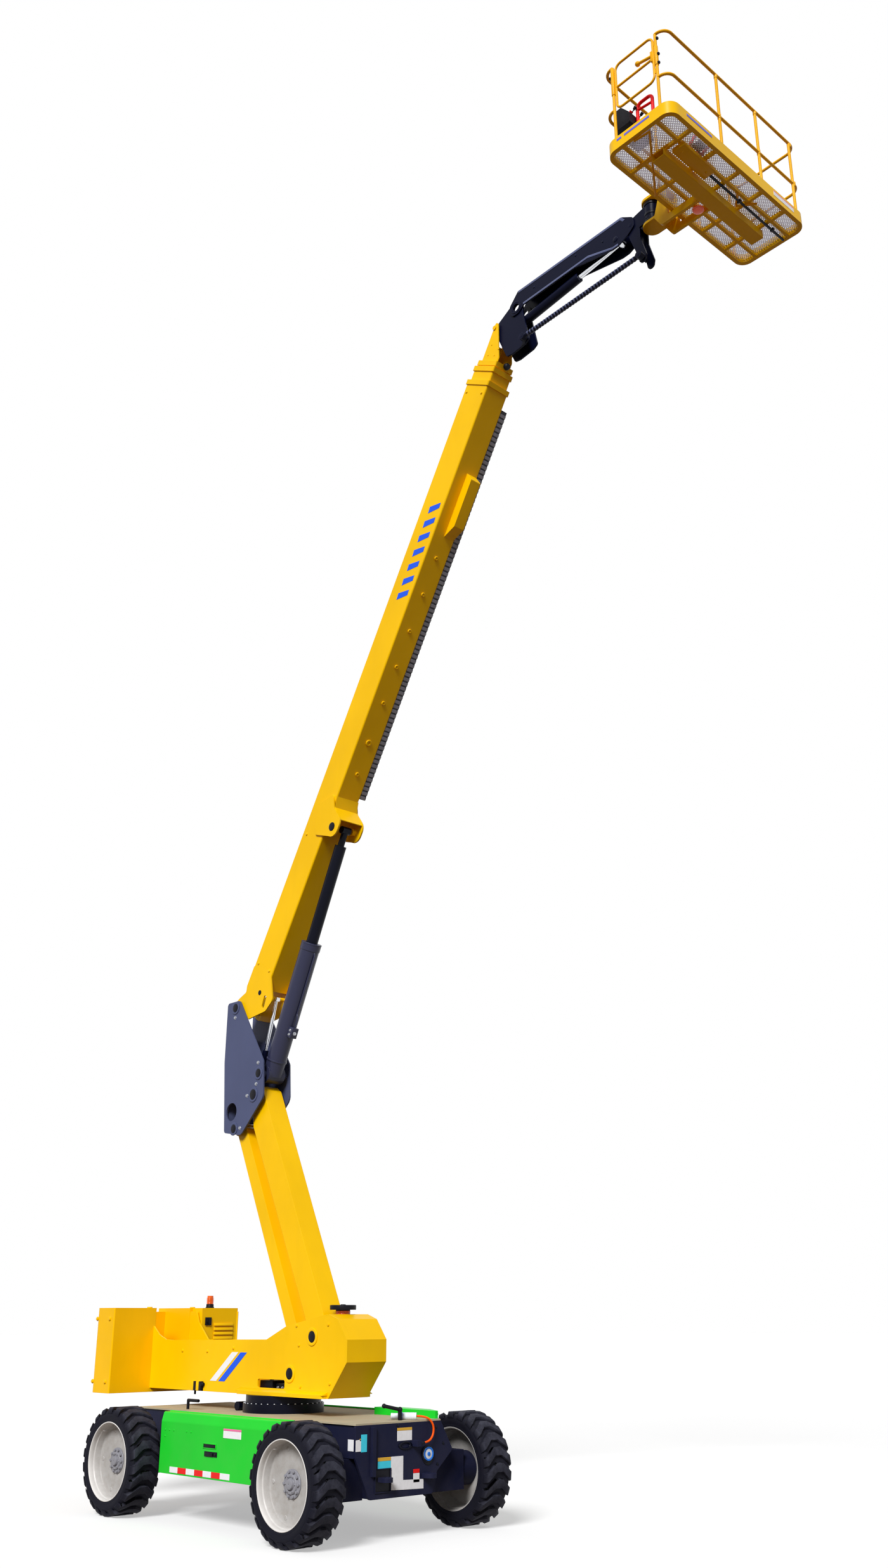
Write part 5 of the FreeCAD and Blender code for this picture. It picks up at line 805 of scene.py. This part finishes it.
def buildCoverTrim(side, way):
    body, face = "cover_" + side, cover["face"]

    def lay(mesh, box, low, high):
        rear, front, bottom, top = box
        edges = sorted((way * low, way * high))
        addBlock(mesh, (rear, edges[0], bottom), (front, edges[1], top))

    for look, lift in (("white_vinyl", 0.0), ("rose_vinyl", 0.0), ("red_vinyl", 0.0008)):
        mesh = bmesh.new()
        for box in cover[look]:
            lay(mesh, box, face - sunk, face + cover["sheet"] + lift)
        closeVinyl("coverTape_" + hue(look) + "_" + side, mesh, look, body, "cover_green")
    mesh = bmesh.new()
    # black sheet flat over the slot: painted shade standing for its hollow
    lay(mesh, cover["slot"], face - sunk, face + 0.002)
    lay(mesh, cover["latch"], face - sunk, face + 0.006)
    lay(mesh, cover["grip"], face, face + 0.020)
    x, z = cover["key"]
    addCap(mesh, (x, way * face, z), across * way, 0.014, 0.016)
    closePiece("coverLatch_" + side, mesh, "black_plastic", body, bevel=0.002)
    mesh = bmesh.new()
    for box in stripsRound(cover["slot"], cover["slotRim"]):
        lay(mesh, box, face - sunk, face + 0.006)
    addBolts(mesh, [(x, way * face, z) for x, z in cover["studs"]], across * way, 0.008, 0.005)
    closePiece("coverRims_" + side, mesh, "cover_green", body)


for side, way in sides.items():
    buildCoverTrim(side, way)
print("chassis trimmed")


# turntable: pins, bolts, stripe and slewing lock
table = {
    "side": 0.260, "pins": [(0.793, 1.767), (0.433, 1.407)], "capRadius": 0.057, "bossRadius": 0.088,
    "bolts": [(0.524, 1.873), (1.054, 1.885), (0.573, 1.683), (1.10, 1.33), (0.62, 1.29), (-0.60, 1.64),
              (-1.10, 1.60), (-1.60, 1.60)],
    "stripe": [(-1.02, 1.30), (-0.90, 1.30), (-0.50, 1.60), (-0.62, 1.60)], "stripeGap": 0.16,
    "ringBolts": (36, 0.416), "ringTop": 1.110,
    "lock": (-1.354, -1.143, 1.195, 1.290), "lockBars": 4, "lockReach": 0.030}


def buildTurntableTrim():
    wide = table["side"]
    bosses, caps, bolts = bmesh.new(), bmesh.new(), bmesh.new()
    for way in (-1, 1):
        for x, z in table["pins"]:
            spot = Vector((x, way * wide, z))
            addBoss(bosses, spot, across * way, table["capRadius"], table["bossRadius"], 0.010)
            addCap(caps, spot, across * way, table["capRadius"], 0.014)
        addBolts(bolts, [(x, way * wide, z) for x, z in table["bolts"]], across * way, 0.015, 0.010)
    closePiece("pinBosses", bosses, "safety_yellow", "turntable")
    closePiece("pinCaps", caps, "black_plastic", "turntable", bevel=0.003)
    closePiece("tableBolts", bolts, "weight_yellow", "turntable", "safety_yellow", bevel=0.001)
    for look, shift in (("white_vinyl", 0.0), ("blue_vinyl", table["stripeGap"])):
        mesh = bmesh.new()
        for way in (-1, 1):
            low, high = sorted((way * (wide - sunk), way * (wide + 0.002)))
            addPlate(mesh, [(x + shift, z) for x, z in table["stripe"]], low, high)
        closeVinyl("tableStripe_" + hue(look), mesh, look, "turntable", "safety_yellow")
    mesh = bmesh.new()
    spots = [(x, y, table["ringTop"]) for x, y in around(*table["ringBolts"])]
    addBolts(mesh, spots, overhead, 0.0085, 0.007)
    closePiece("ringBolts", mesh, "bare_steel", "chassis", bevel=0.0008)


def buildLock():
    # striped bracket of the slewing lock, with its black lever and knob
    left, right, low, high = table["lock"]
    face, count = -table["side"], table["lockBars"]
    reach, step = table["lockReach"], (right - left) / count
    for look, start in (("safety_yellow", 0), ("black_plastic", 1)):
        mesh = bmesh.new()
        for i in range(start, count, 2):
            addBlock(mesh, (left + i * step, face - reach, low), (left + (i + 1) * step, face + sunk, high))
        if look == "black_plastic":
            x, y = left + 1.5 * step, face - 0.016
            addBar(mesh, (x, y, low - 0.04), (x, y, low + 0.01), 0.012)
            addCap(mesh, (right, y, high - 0.03), ahead, 0.022, 0.03)
        closePiece("slewLock_" + hue(look), mesh, look, "turntable", bevel=0.002)


# front lamp and beacon, as profiles of (height, radius)
lamp = {
    "neck": [(0.004, 0.070), (0.004, 0.084), (0.012, 0.084), (0.015, 0.0772), (0.054, 0.0772),
             (0.054, 0.070)],
    "rim": [(-0.040, 0.130), (-0.040, 0.1365), (0.0, 0.1365), (0.003, 0.132), (0.003, 0.100), (0.0, 0.096),
            (-0.001, 0.130)],
    "button": (0.030, 0.010),
    "beaconBase": [(0.0, 0.040), (0.0, 0.052), (0.008, 0.052), (0.012, 0.046), (0.044, 0.0445),
                   (0.046, 0.040)],
    "beaconRib": [(0.052, 0.041), (0.052, 0.0438), (0.060, 0.0438), (0.060, 0.041)],
    "ribs": 5, "ribPitch": 0.014}


def buildLampAndBeacon():
    low, high = map(Vector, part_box("front_lamp"))
    x, y = (low.x + high.x) / 2, (low.y + high.y) / 2
    mesh = bmesh.new()
    addSpin(mesh, lamp["neck"], (x, y, low.z), overhead, 48)
    closePiece("lampNeck", mesh, "lamp_orange", "turntable", bevel=0.001)
    mesh = bmesh.new()
    addSpin(mesh, lamp["rim"], (x, y, high.z), overhead, 64)
    addCap(mesh, (x, y, high.z), overhead, *lamp["button"])
    closePiece("lampRim", mesh, "black_plastic", "turntable")
    low, high = map(Vector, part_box("beacon"))
    foot = Vector(((low.x + high.x) / 2, (low.y + high.y) / 2, low.z))
    mesh = bmesh.new()
    addSpin(mesh, lamp["beaconBase"], foot, overhead, 48)
    closePiece("beaconBase", mesh, "black_plastic", "turntable", bevel=0.001)
    mesh = bmesh.new()
    for i in range(lamp["ribs"]):
        addSpin(mesh, lamp["beaconRib"], foot + overhead * i * lamp["ribPitch"], overhead, 48)
    closePiece("beaconRibs", mesh, "amber_lens", "turntable", bevel=0.0008)


buildTurntableTrim()
buildLock()
buildLampAndBeacon()
print("turntable trimmed")


# flanges under the side plates, and the valves seen in the slot
works = {
    "flange": [(0.259, 1.219), (0.330, 1.219), (0.330, 1.226), (0.259, 1.252)], "flangeEnds": (-0.428, 1.068),
    "blocks": [((-0.160, -0.200, 1.236), (0.060, 0.200, 1.330)),
               ((0.080, -0.170, 1.236), (0.300, 0.170, 1.300))],
    "rows": (-0.15, -0.05, 0.05, 0.15), "valveX": -0.02, "valve": (1.325, 1.352), "pipe": (0.05, 0.19, 1.270),
    "topPlugs": (-0.15, 0.05), "sidePlugs": (0.12, 0.20, 0.28)}


def buildWorks():
    mesh = bmesh.new()
    for way in (-1, 1):
        addLoft(mesh, [[(x, way * y, z) for y, z in works["flange"]] for x in works["flangeEnds"]])
    closePiece("tableFlange", mesh, "safety_yellow", "turntable", bevel=0.002)
    mesh = bmesh.new()
    for low, high in works["blocks"]:
        addBlock(mesh, low, high)
    x, (foot, top), (start, end, height) = works["valveX"], works["valve"], works["pipe"]
    for y in works["rows"]:
        addBar(mesh, (x, y, foot), (x, y, top), 0.022)
        addBar(mesh, (start, y * 0.8, height), (end, y * 0.8, height), 0.018)
    closePiece("valveBank", mesh, "black_plastic", "turntable", bevel=0.003)
    mesh = bmesh.new()
    addBolts(mesh, [(x, y, top) for y in works["topPlugs"]], overhead, 0.014, 0.010)
    addBolts(mesh, [(x, -0.170, 1.262) for x in works["sidePlugs"]], -across, 0.013, 0.012)
    closePiece("valvePlugs", mesh, "bare_steel", "turntable", bevel=0.001)


# counterweight bolts, and the louvres and latches of the service door
tail = {
    "sideBolts": (-2.34, -2.62), "sideInset": 0.12, "eyes": (-2.30, 0.30), "rearRise": 0.25, "rearDrop": 0.35,
    "louvres": 9, "louvrePitch": 0.05, "louvreDrop": 0.20, "louvreInset": (0.17, 0.08),
    "louvre": [(-0.001, 0.0), (0.010, 0.0), (0.002, 0.030), (-0.001, 0.030)],
    "latchInset": 0.085, "latchRise": 0.25, "latchHalf": 0.045}


def buildTail():
    low, high = map(Vector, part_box("counterweight"))
    mesh = bmesh.new()
    for way in (-1, 1):
        heights = (low.z + tail["sideInset"], high.z - tail["sideInset"])
        spots = [(x, way * high.y, z) for x in tail["sideBolts"] for z in heights]
        addBolts(mesh, spots, across * way, 0.020, 0.012)
    x, y = tail["eyes"]
    heights = (low.z + tail["rearRise"], high.z - tail["rearDrop"])
    for way in (-1, 1):
        addBoss(mesh, (x, way * y, high.z), overhead, 0.016, 0.032, 0.012)
        addBolts(mesh, [(low.x, way * y, z) for z in heights], -ahead, 0.024, 0.012)
    closePiece("weightBolts", mesh, "weight_yellow", "turntable", bevel=0.001)
    low, high = map(Vector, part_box("cabinet_door"))
    face, middle = high.x, (low.z + high.z) / 2
    ends = (low.y + tail["louvreInset"][0], high.y - tail["louvreInset"][1])
    mesh = bmesh.new()
    for i in range(tail["louvres"]):
        foot = middle - tail["louvreDrop"] + i * tail["louvrePitch"]
        addLoft(mesh, [[(face + x, y, foot + z) for x, z in tail["louvre"]] for y in ends])
    closePiece("doorLouvres", mesh, "safety_yellow", "cabinet_door", bevel=0.001)
    mesh = bmesh.new()
    half, y = tail["latchHalf"], low.y + tail["latchInset"]
    for z in (middle - tail["latchRise"], middle + tail["latchRise"]):
        addBlock(mesh, (face - sunk, y - half, z - half), (face + 0.006, y + half, z + half))
        addBar(mesh, (face, y, z), (face + 0.014, y, z), 0.026)
        addBlock(mesh, (face + 0.012, y - 0.008, z - 0.032), (face + 0.024, y + 0.008, z + 0.032))
    closePiece("doorLatches", mesh, "black_plastic", "cabinet_door", bevel=0.002)


buildWorks()
buildTail()
print("turntable fitted out")


# knuckle: a cap and a ring at each pin, and the bolts that keep the pins
knuckle = {
    "side": 0.200, "ring": 0.026,
    "pins": [(-0.9875, 5.4681, 0.052), (-0.5395, 4.3821, 0.060), (-0.8995, 4.0221, 0.050),
             (-0.4545, 4.6201, 0.050)],
    "keepers": [(-0.662, 4.382), (-0.49, 4.500), (-0.47, 4.745), (-0.9875, 5.350), (-0.775, 4.022)]}


def buildKnuckleTrim():
    side = knuckle["side"]
    caps, rings, bolts = bmesh.new(), bmesh.new(), bmesh.new()
    for way in (-1, 1):
        for x, z, radius in knuckle["pins"]:
            spot = Vector((x, way * side, z))
            addCap(caps, spot, across * way, radius, 0.012)
            addBoss(rings, spot, across * way, radius, radius + knuckle["ring"], 0.008)
        addBolts(bolts, [(x, way * side, z) for x, z in knuckle["keepers"]], across * way, 0.017, 0.012)
    closePiece("knuckleCaps", caps, "black_plastic", "knuckle", bevel=0.002)
    closePiece("knuckleRings", rings, "knuckle_slate", "knuckle")
    closePiece("knuckleBolts", bolts, "bare_steel", "knuckle", bevel=0.001)


# lift cylinder: bands round the barrel, and a valve block with its pipe, in the barrel's own frame
cylinder = {
    "foot": (-0.4545, 0, 4.6201), "angle": 65.325, "bands": [(0.170, 0.020), (1.600, 0.018)],
    "bore": 0.112, "band": 0.123,
    "block": ((0.50, -0.045, -0.185), (0.62, 0.045, -0.105)), "pipeRadius": 0.011,
    "pipe": [(0.62, -0.160), (0.72, -0.160), (0.78, -0.130), (1.48, -0.130), (1.53, -0.105)],
    "unions": (0.535, 0.585), "unionUp": -0.145, "plug": (0.56, -0.185)}
lift = Arm(cylinder["foot"], cylinder["angle"])


def buildCylinderTrim():
    for holder in nodes["lift_barrel"].material_slots:
        holder.material = looks["barrel_slate"]
    mesh = bmesh.new()
    bore, band = cylinder["bore"], cylinder["band"]
    for along, thick in cylinder["bands"]:
        profile = [(0.0, bore), (0.0, band), (thick, band), (thick, bore)]
        addSpin(mesh, profile, lift.at(along, 0, 0), lift.way(1, 0), 56)
    addBlock(mesh, *cylinder["block"], lift.matrix)
    addTube(mesh, [lift.at(s, 0, t) for s, t in cylinder["pipe"]], cylinder["pipeRadius"])
    closePiece("liftGland", mesh, "barrel_slate", "lift_barrel", "frame_grey")
    mesh = bmesh.new()
    side, t = cylinder["block"][1][1], cylinder["unionUp"]
    for s in cylinder["unions"]:
        for way in (-1, 1):
            addBolts(mesh, [lift.at(s, way * side, t)], across * way, 0.013, 0.012)
    s, t = cylinder["plug"]
    addBolts(mesh, [lift.at(s, 0, t)], lift.way(0, -1), 0.017, 0.016)
    closePiece("liftPlugs", mesh, "bare_steel", "lift_barrel", bevel=0.001)


buildKnuckleTrim()
buildCylinderTrim()
print("knuckle pinned")


# boom, in its own frame of (along, up) from the pivot
boom = {
    "foot": (-0.9875, 0, 5.4681), "angle": 59.5, "side": 0.165, "under": -0.417,
    "stripes": 7, "firstStripe": 5.314, "stripePitch": 0.182,
    "stripe": [(0.0, -0.178), (0.084, -0.170), (0.156, -0.350), (0.088, -0.356)],
    "bosses": [(3.195, 0.026), (3.594, 0.040), (4.101, 0.026), (4.559, 0.026), (5.012, 0.026), (5.473, 0.026),
               (5.93, 0.026)],
    "bolts": [(0.62, -0.08), (0.62, -0.34), (2.30, -0.10), (7.93, -0.07), (7.93, -0.36)],
    "lugPin": (2.527, -0.555), "lugSide": 0.185, "footHole": (0.330, -0.310),
    "carrier": (2.925, 7.850, 0.0585), "link": ((0.0, 0.1645, -0.4135), (0.038, 0.2535, -0.2865)),
    "tipBolts": [(8.42, -0.15), (8.42, -0.27), (8.55, -0.15), (8.50, -0.30)], "tipSide": 0.111,
    "sensors": [(8.330, -0.340, -0.415, 0.024, 0.040, 0.045), (8.640, -0.066, -0.006, 0.022, 0.036, 0.040)]}
spar = Arm(boom["foot"], boom["angle"])


def buildBoomTrim():
    side, under, upward = boom["side"], boom["under"], spar.way(0, 1)
    mesh = bmesh.new()
    for i in range(boom["stripes"]):
        outline = [(boom["firstStripe"] + i * boom["stripePitch"] + s, t) for s, t in boom["stripe"]]
        addPlate(mesh, outline, -side - 0.002, -side + sunk, spar.matrix)
        addPlate(mesh, outline, side - sunk, side + 0.002, spar.matrix)
    closeVinyl("boomStripes", mesh, "blue_vinyl", "boom", "safety_yellow")
    mesh = bmesh.new()
    for s, radius in boom["bosses"]:
        addBoss(mesh, spar.at(s, 0, under), -upward, radius * 0.4, radius, 0.014)
        addBar(mesh, spar.at(s, 0, under + 0.002), spar.at(s, 0, under - 0.006), radius * 0.45)
    for way in (-1, 1):
        addBolts(mesh, [spar.at(s, way * side, t) for s, t in boom["bolts"]], across * way, 0.015, 0.010)
    closePiece("boomBosses", mesh, "safety_yellow", "boom")
    mesh = bmesh.new()
    s, t = boom["lugPin"]
    for way in (-1, 1):
        addCap(mesh, spar.at(s, way * boom["lugSide"], t), across * way, 0.052, 0.010)
    s, t = boom["footHole"]
    addCap(mesh, spar.at(s, -side, t), -across, 0.030, 0.006)
    closePiece("boomCaps", mesh, "black_plastic", "boom", bevel=0.002)
    # link ribs in a lighter grey than the carrier: painted highlight on their crests
    mesh = bmesh.new()
    start, end, pitch = boom["carrier"]
    low, high = boom["link"]
    for i in range(int((end - start) / pitch)):
        addBlock(mesh, low, high, spar.matrix @ Matrix.Translation((start + i * pitch, 0, 0)))
    closePiece("carrierLinksHighlight", mesh, "carrier_link", "boom", "battery_grey", bevel=0.002, segments=1)
    mesh = bmesh.new()
    for s, foot, head, stem, knob, tall in boom["sensors"]:
        addBar(mesh, spar.at(s, 0, foot), spar.at(s, 0, head), stem)
        addCap(mesh, spar.at(s, 0, head), upward if head > foot else -upward, knob, tall, 0.004)
    closePiece("tipSensors", mesh, "black_plastic", "boom_tip", bevel=0.003)
    mesh = bmesh.new()
    for way in (-1, 1):
        spots = [spar.at(s, way * boom["tipSide"], t) for s, t in boom["tipBolts"]]
        addBolts(mesh, spots, across * way, 0.011, 0.007)
    closePiece("tipBolts", mesh, "safety_yellow", "boom_tip", bevel=0.001)


buildBoomTrim()
print("boom trimmed")


# jib, in the beam's own frame of (along, up), with the ribbed link below it and the rotator at its end
jib = {
    "foot": (3.8701, 0, 13.0803), "low": (4.0051, 0, 12.5503), "angle": 1.4815, "side": 0.096,
    "bandLift": 0.004,
    "topBand": [(0.045, 0.207), (1.630, 0.187), (1.682, 0.120), (1.650, 0.112), (1.614, 0.156),
                (0.055, 0.176)],
    "lowBand": [(0.120, -0.036), (1.120, -0.036), (1.480, -0.160), (1.560, -0.160), (1.560, -0.134),
                (1.488, -0.134), (1.128, -0.008), (0.120, -0.008)],
    "headPin": (1.530, -0.050), "bolts": [(0.30, 0.10), (0.95, 0.12), (1.35, 0.04)],
    "linkY": -0.134, "rings": 38, "firstRing": 0.08, "ringPitch": 0.0425,
    "ring": [(0.0, 0.025), (0.003, 0.0295), (0.017, 0.0295), (0.020, 0.025)],
    "turn": (5.8501, 0, 0), "collarBore": 0.086,
    "collars": [(0.096, 13.020, 13.050), (0.093, 13.120, 13.150), (0.096, 13.255, 13.290)],
    "studs": (10, 0.0925), "stud": (13.050, 13.085)}
beam = Arm(jib["foot"], jib["angle"])
lowLink = Arm(jib["low"], jib["angle"])


def buildJibTrim():
    side, reach = jib["side"], jib["side"] + jib["bandLift"]
    # lighter slate strips along the top and bottom of the beam's sides: painted highlights for light caught
    # by its flanges
    mesh = bmesh.new()
    for outline in (jib["topBand"], jib["lowBand"]):
        addPlate(mesh, outline, -reach, -side + sunk, beam.matrix)
        addPlate(mesh, outline, side - sunk, reach, beam.matrix)
    closePiece("jibHighlightBands", mesh, "jib_edge", "jib_beam", "jib_navy")
    mesh = bmesh.new()
    s, t = jib["headPin"]
    for way in (-1, 1):
        addCap(mesh, beam.at(s, way * side, t), across * way, 0.036, 0.006)
        addBoss(mesh, beam.at(0, way * (side - sunk), 0), across * way, 0.063, 0.082, 0.006)
        addBolts(mesh, [beam.at(a, way * side, b) for a, b in jib["bolts"]], across * way, 0.012, 0.005)
    closePiece("jibCaps", mesh, "jib_navy", "jib_beam")
    # rings in the lighter slate: painted highlight on the rib crests
    mesh = bmesh.new()
    for i in range(jib["rings"]):
        centre = lowLink.at(jib["firstRing"] + i * jib["ringPitch"], jib["linkY"], 0)
        addSpin(mesh, jib["ring"], centre, lowLink.way(1, 0), 20)
    closePiece("linkRings", mesh, "jib_edge", "jib_link", "jib_navy", bevel=0.0006, segments=1)
    mesh = bmesh.new()
    foot, bore = Vector(jib["turn"]), jib["collarBore"]
    for radius, low, high in jib["collars"]:
        addSpin(mesh, [(low, bore), (low, radius), (high, radius), (high, bore)], foot, overhead, 56)
    low, high = jib["stud"]
    for x, y in around(*jib["studs"]):
        addBar(mesh, foot + Vector((x, y, low)), foot + Vector((x, y, high)), 0.006, sides=8)
    closePiece("rotatorRings", mesh, "ring_black", "jib_head")


buildJibTrim()
print("jib trimmed")


# platform: strips on its edge, and what hangs under its floor
platform = {
    "middle": 6.5901, "halfX": 0.425, "halfY": 1.170, "under": 12.920,
    "endStrips": [(6.330, 6.390), (6.425, 6.745)], "endStripZ": (13.020, 13.048),
    "sideStrip": (-0.920, -0.510, 13.012, 13.042),
    "label": (0.560, 0.930, 12.986, 13.036), "labelEdge": (0.560, 0.930, 13.0365, 13.050),
    "braces": [[(6.51, -1.125), (6.69, -1.105), (6.27, -0.500), (6.20, -0.400)],
               [(6.31, -0.840), (6.715, -0.845)], [(6.80, 0.20), (6.69, 0.34), (6.86, 0.47)]],
    "braceRadius": 0.012,
    "conduit": [(6.760, -0.330), (6.745, 1.120)], "conduitRadius": 0.014, "clips": (-0.30, 0.30, 0.90),
    "tray": (6.700, 6.850, -0.760, -0.240), "trayBolts": (-0.70, -0.30), "trayDepth": 0.040,
    "lens": (6.440, 0.0, 12.830)}


def buildPlatformTrim():
    right, end, under = platform["middle"] + platform["halfX"], platform["halfY"], platform["under"]

    def layRight(mesh, box):
        start, stop, low, high = box
        addBlock(mesh, (right - sunk, start, low), (right + 0.002, stop, high))

    mesh = bmesh.new()
    low, high = platform["endStripZ"]
    for start, stop in platform["endStrips"]:
        addBlock(mesh, (start, -end - 0.002, low), (stop, -end + sunk, high))
    layRight(mesh, platform["sideStrip"])
    closeVinyl("kickStrips", mesh, "lilac_vinyl", "platform", "safety_yellow")
    for name, part, look in (("kickLabel", "label", "white_vinyl"),
                             ("kickLabelEdge", "labelEdge", "rose_vinyl")):
        mesh = bmesh.new()
        layRight(mesh, platform[part])
        closeVinyl(name, mesh, look, "platform", "safety_yellow")
    mesh = bmesh.new()
    first, strut, last = [[(x, y, under) for x, y in route] for route in platform["braces"]]
    addTube(mesh, first, platform["braceRadius"])
    addBar(mesh, *strut, platform["braceRadius"])
    addTube(mesh, last, platform["braceRadius"])
    closePiece("floorBraces", mesh, "rail_yellow", "platform", bevel=0.0)
    mesh = bmesh.new()
    addTube(mesh, [(x, y, under - 0.004) for x, y in platform["conduit"]], platform["conduitRadius"])
    for y in platform["clips"]:
        addBlock(mesh, (6.730, y - 0.012, under - 0.020), (6.775, y + 0.012, under + 0.011))
    closePiece("floorConduit", mesh, "black_plastic", "platform")
    mesh = bmesh.new()
    x0, x1, y0, y1 = platform["tray"]
    bottom = under - platform["trayDepth"]
    addBlock(mesh, (x0, y0, bottom), (x1, y1, under + 0.011))
    addBolts(mesh, [((x0 + x1) / 2, y, bottom) for y in platform["trayBolts"]], -overhead, 0.010, 0.008)
    closePiece("floorTray", mesh, "weight_yellow", "platform", "safety_yellow", bevel=0.004)
    mesh = bmesh.new()
    addCap(mesh, platform["lens"], -overhead, 0.062, 0.022)
    closePiece("underLens", mesh, "lamp_orange", "platform", bevel=0.003)


# rails: sleeves as (low, high, radius, end radius), the gate's knobs and its handle
rails = {
    "inset": 0.0223, "posts": (-0.3042, 0.3861, 1.040), "foot": (12.977, 13.020, 0.021, 0.018),
    "joints": [(13.430, 13.490, 0.0195, None), (13.985, 14.034, 0.0195, None)], "gate": 0.280,
    "gateSleeves": [(13.660, 14.020, 0.0215, None), (13.620, 13.870, 0.0215, None)],
    "knobs": [(0.020, 13.640), (0.022, 13.755), (0.020, 13.965)], "hingeKnob": (-0.028, 13.92),
    "handle": [(-0.052, 13.765), (-0.220, 13.805)], "handleY": -0.018,
    "ball": (-0.222, 13.806), "ballRadius": 0.028,
    "latch": ((-0.062, -0.022, 13.700), (-0.040, 0.010, 13.830))}


def buildRailFittings():
    middle, inset = platform["middle"], rails["inset"]
    y = -(platform["halfY"] - inset)
    hinge, latch = middle - rails["gate"], middle + rails["gate"]

    def addSleeve(mesh, x, y, sleeve):
        low, high, radius, endRadius = sleeve
        addBar(mesh, (x, y, low), (x, y, high), radius, endRadius, sides=20)

    mesh = bmesh.new()
    for x, sleeve in zip((hinge, latch), rails["gateSleeves"]):
        addSleeve(mesh, x, y, sleeve)
    for x in (middle - platform["halfX"] + inset, middle + platform["halfX"] - inset):
        for post in rails["posts"]:
            for sleeve in (rails["foot"], *rails["joints"]):
                addSleeve(mesh, x, post, sleeve)
    for x in (hinge, latch):
        addSleeve(mesh, x, y, rails["foot"])
    closePiece("railSleeves", mesh, "rail_yellow", "platform", bevel=0.0012)
    mesh = bmesh.new()
    for x, z in rails["knobs"]:
        addCap(mesh, (latch + x, y, z), ahead, 0.017, 0.016)
    x, z = rails["hingeKnob"]
    addCap(mesh, (hinge + x, y, z), -ahead, 0.017, 0.016)
    closePiece("railKnobs", mesh, "black_plastic", "platform", bevel=0.002)
    mesh = bmesh.new()
    post, pull = Vector((latch, y, 0)), y + rails["handleY"]
    addBar(mesh, *[(latch + x, pull, z) for x, z in rails["handle"]], 0.016, sides=20)
    x, z = rails["ball"]
    bmesh.ops.create_uvsphere(mesh, u_segments=20, v_segments=12, radius=rails["ballRadius"],
                              matrix=Matrix.Translation((latch + x, pull, z)))
    addBlock(mesh, *[post + Vector(corner) for corner in rails["latch"]])
    closePiece("gateHandle", mesh, "rail_yellow", "gate", bevel=0.0012)


# controls: sticks and keys on the console's slope, the foot pedal and its red guard
controls = {
    "place": (0.150, -0.065), "slope": 52.4, "panel": ((-0.070, -0.165, -0.002), (0.070, 0.165, 0.004)),
    "sticks": (-0.11, 0.0, 0.11), "keys": 6, "keyPitch": 0.05, "firstKey": (-0.045, -0.125),
    "stop": (0.045, -0.140),
    "pedalGuard": [(6.86, -0.64, 12.992), (6.80, -0.60, 12.996), (6.79, -0.50, 12.996), (6.83, -0.43, 12.996),
                   (6.93, -0.42, 13.060), (6.955, -0.52, 13.120), (6.93, -0.62, 13.090),
                   (6.86, -0.64, 12.992)],
    "pedal": [((6.83, -0.600, 12.977), (6.93, -0.480, 13.000)),
              ((6.84, -0.590, 13.000), (6.91, -0.490, 13.016))],
    "guardInset": 0.018, "guardDrops": (0.090, 0.120)}


def buildControls():
    low, high = map(Vector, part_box("control_box"))
    forward, down = controls["place"]
    lean = Matrix.Translation((low.x + forward, (low.y + high.y) / 2, high.z + down))
    lean = lean @ Matrix.Rotation(math.radians(controls["slope"]), 4, "Y")

    def addStem(mesh, x, y, foot, head, radius, endRadius=None):
        addBar(mesh, lean @ Vector((x, y, foot)), lean @ Vector((x, y, head)), radius, endRadius)

    mesh = bmesh.new()
    addBlock(mesh, *controls["panel"], lean)
    for y in controls["sticks"]:
        addStem(mesh, 0.02, y, 0.0, 0.050, 0.006)
        addStem(mesh, 0.02, y, 0.050, 0.085, 0.014, 0.018)
    closePiece("consoleSticks", mesh, "black_plastic", "platform")
    mesh = bmesh.new()
    x, y = controls["firstKey"]
    for i in range(controls["keys"]):
        addStem(mesh, x, y + i * controls["keyPitch"], 0.003, 0.012, 0.010)
    closePiece("consoleKeys", mesh, "bare_steel", "platform", bevel=0.001)
    mesh = bmesh.new()
    addStem(mesh, *controls["stop"], 0.003, 0.022, 0.018, 0.022)
    addTube(mesh, controls["pedalGuard"], 0.017)
    closePiece("redFittings", mesh, "guard_red", "platform", bevel=0.0)
    mesh = bmesh.new()
    for corners in controls["pedal"]:
        addBlock(mesh, *corners)
    closePiece("footPedal", mesh, "black_plastic", "platform", bevel=0.003)
    low, high = map(Vector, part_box("control_guard"))
    near, far = controls["guardDrops"]
    y, inset = (low.y + high.y) / 2, controls["guardInset"]
    mesh = bmesh.new()
    addTube(mesh, [(low.x + inset, y, high.z - near), (high.x - inset, y, high.z - far)], 0.014)
    closePiece("guardBar", mesh, "guard_red", "platform", bevel=0.0)


buildPlatformTrim()
buildRailFittings()
buildControls()
print("platform trimmed")
